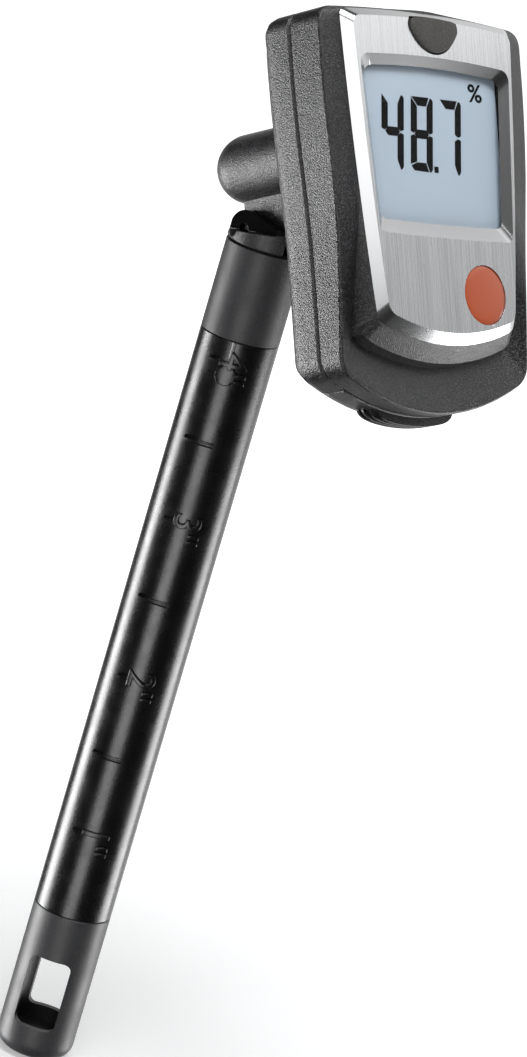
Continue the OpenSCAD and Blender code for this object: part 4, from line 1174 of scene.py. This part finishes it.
# The cross recess: half its length and half its width, and how it draws in from over the head
CROSS = rectangle(-1, 1, -0.22, 0.22)
CROSS_DRAFT = ((1.0, -0.5), (0.6, 0.8))
crown = [
    (SCREW_HEAD_R * math.sin(a), -SCREW_HEAD_T + SCREW_CROWN - SCREW_CROWN * math.cos(a))
    for a in quarter_turn(8)
]
screw = lathe("screw", [
    *crown, (SCREW_HEAD_R, 0), (SCREW_R, 0), (SCREW_R, SCREW_LEN - SCREW_TAPER),
    (SCREW_POINT, SCREW_LEN), (0, SCREW_LEN),
], 48)
for turn in (0, 90):
    blade = loft("blade", [
        [(x * share, y * share, z - SCREW_HEAD_T) for x, y in CROSS] for share, z in CROSS_DRAFT
    ])
    blade.data.transform(Matrix.Rotation(math.radians(turn), 4, "Z"))
    cut(screw, blade)

setting, given = open_tree(
    "set on points", {"Geometry": "Geometry", "Piece": "Object", "Material": "Material"}
)
held = add(setting, "GeometryNodeObjectInfo", {"Object": given["Piece"]})
close_tree(setting, given["Geometry"], held.outputs["Geometry"], given["Material"])


def set_on(name, piece, places, depth, material):
    """Copies of a piece that stands along z, laid along the head's depth at these places."""
    piece.data.transform(TO_FRONT)
    values = {"Piece": piece, "Material": material}
    copies = grown(name, setting, values, at_depth(places, depth))
    bpy.data.objects.remove(piece)
    return copies


steel = inner["turned_steel"]
screws = set_on("case_screw_set", screw, SCREW_PLACES, SCREW_SEAT, steel)
finish(screws, HEAD, "head", steel, ["case_screws"], 0.05)

# %% [markdown]
# ## Button cells
# Three button cells lie behind the cover. A cell is a can with a rounded edge and a smaller cap with
# a dark sealing ring between them. The groove makes the ring read without a second material.

# %% Cells
CELL_R, CELL_T, CELL_BACK = 5.8, 5.4, 2.1
CELL_PLACES = [(6.1, -30.4), (-6.1, -30.4), (0, -19.9)]
# The can and the cap with the groove between them: how far in each point is, and its height
CAN = ((0.5, 0), (0.15, 0.15), (0, 0.5))
CAP = ((0, 0.8), (0.35, 0.3), (0.9, 0.25), (0.95, 0.6), (1.3, 0.6), (1.4, 0.1), (1.7, 0))
cell = lathe("cell", [
    (0, 0),
    *((CELL_R - inset, height) for inset, height in CAN),
    *((CELL_R - inset, CELL_T - below) for inset, below in CAP),
    (0, CELL_T),
], 96)
nickel = inner["nickel_steel"]
cells = set_on("button_cell_set", cell, CELL_PLACES, CELL_BACK, nickel)
finish(cells, HEAD, "head", nickel, ["button_cells"], 0)

# %% [markdown]
# ## Floor
# The object was photographed on plain white. The floor is pale and gets a glow for camera rays only,
# faint near the object and full further out, so it reads as white and still keeps a soft shadow.

# %% Floor
FLOOR_HALF = 4
FLOOR_Z = (tip - 0.2) * MM
# The glow near the object and far from it, and the distances in metres between which it grows
GLOW_NEAR, GLOW_FAR = 0.35, 1.0
GLOW_FROM, GLOW_TO = 0.1, 0.35
floor_corners = rectangle(-FLOOR_HALF, FLOOR_HALF, -FLOOR_HALF, FLOOR_HALF)
floor = mesh_object("floor", [(x, y, FLOOR_Z) for x, y in floor_corners], [(0, 1, 2, 3)])
floor_paint, floor_shader = plain("pale_floor", "#e9eaeb", 0.7)
floor_tree = floor_paint.node_tree
floor_rays = add(floor_tree, "ShaderNodeLightPath")
floor_place = add(floor_tree, "ShaderNodeTexCoord")
away = add(floor_tree, "ShaderNodeVectorMath", {0: floor_place.outputs["Object"]}, operation="LENGTH")
floor_level = add(floor_tree, "ShaderNodeMapRange", {
    "Value": away.outputs["Value"], "From Min": GLOW_FROM, "From Max": GLOW_TO,
    "To Min": GLOW_NEAR, "To Max": GLOW_FAR,
})
floor_glow = add(floor_tree, "ShaderNodeMath", {
    0: floor_rays.outputs["Is Camera Ray"], 1: floor_level.outputs["Result"],
}, operation="MULTIPLY")
feed(floor_shader, {"Emission Color": (1, 1, 1, 1), "Emission Strength": floor_glow.outputs["Value"]})
floor.data.materials.append(floor_paint)
floor.visible_glossy = False
floor.visible_shadow = False
print("floor at", round(FLOOR_Z / MM, 2), "mm")

# %% [markdown]
# ## Lamps
# Black plastic shows nothing but what it mirrors, so each lamp stands where one face looks for it: a
# bright box at the left for the left edges of tube and case, a dimmer one low in front for the grey
# band down the tube, a low one at the right for the tube's other edge and the bezel's lower bevel,
# and a small near one and a wide faint one at the upper right for the bezel's front. One high in
# front lights the tops, and a box overhead gives the plain even light by which the colours read as
# written.

# %% Lamps
# Name, place in metres from the aim, width, height and radiance
LAMPS = (
    ("left_box", (-0.48, 0.02, -0.29), 0.24, 0.34, 17.0),
    ("band_box", (0.03, -0.72, -0.27), 0.36, 0.34, 5.0),
    ("right_box", (0.44, 0.23, -0.27), 0.26, 0.22, 8.0),
    ("bezel_box", (0.19, 0.08, 0.18), 0.14, 0.1, 1.2),
    ("high_box", (0.57, 0.2, 0.34), 0.4, 0.26, 0.6),
    ("brow_box", (-0.03, -0.62, 0.33), 0.4, 0.3, 2.2),
    ("overhead_box", (0.12, -0.2, 0.7), 0.4, 0.4, 11.5),
)
for name, place, width, height, radiance in LAMPS:
    lamp = in_scene(name, adjust(
        bpy.data.lights.new(name, "AREA"), shape="RECTANGLE", size=width, size_y=height,
        energy=radiance * math.pi * width * height,
    ))
    spot = AIM + Vector(place)
    turned = (AIM - spot).to_track_quat("-Z", "Y").to_matrix().to_4x4()
    lamp.matrix_world = Matrix.Translation(spot) @ turned
    lamp.visible_camera = False
    print(name, "radiance", radiance)

# %% [markdown]
# ## World
# The camera sees white. Everything else sees a dark studio that turns pale only behind the object,
# which puts a thin light line on edges seen at a low angle.

# %% World
# Where the studio is pale, how dark it is elsewhere, and between which cosines it changes
PALE_SIDE = Vector((0.35, 0.93, -0.1)).normalized()
STUDIO_DARK, STUDIO_PALE = 0.035, 1.0
DARK_AT, PALE_AT = 0.4, 0.9
world = bpy.data.worlds.new("studio")
bpy.context.scene.world = world
world.use_nodes = True
sky = world.node_tree
rays = add(sky, "ShaderNodeLightPath")
seen = add(sky, "ShaderNodeMath", {
    0: rays.outputs["Is Camera Ray"], 1: rays.outputs["Is Transmission Ray"],
}, operation="MAXIMUM")
facing = add(sky, "ShaderNodeVectorMath", {
    0: add(sky, "ShaderNodeTexCoord").outputs["Generated"], 1: PALE_SIDE,
}, operation="DOT_PRODUCT")
bright = add(sky, "ShaderNodeMapRange", {
    "Value": facing.outputs["Value"], "From Min": DARK_AT, "From Max": PALE_AT,
    "To Min": STUDIO_DARK, "To Max": STUDIO_PALE,
}, interpolation_type="SMOOTHSTEP")
level = add(sky, "ShaderNodeMix", {
    0: seen.outputs["Value"], MIX_NUMBER_A: bright.outputs["Result"], MIX_NUMBER_B: 1.0,
}, data_type="FLOAT")
feed(sky.nodes["Background"], {"Color": (1, 1, 1, 1), "Strength": level.outputs[MIX_NUMBER_OUT]})
bpy.context.scene.view_settings.view_transform = "Standard"
print("studio from", STUDIO_DARK, "to", STUDIO_PALE)
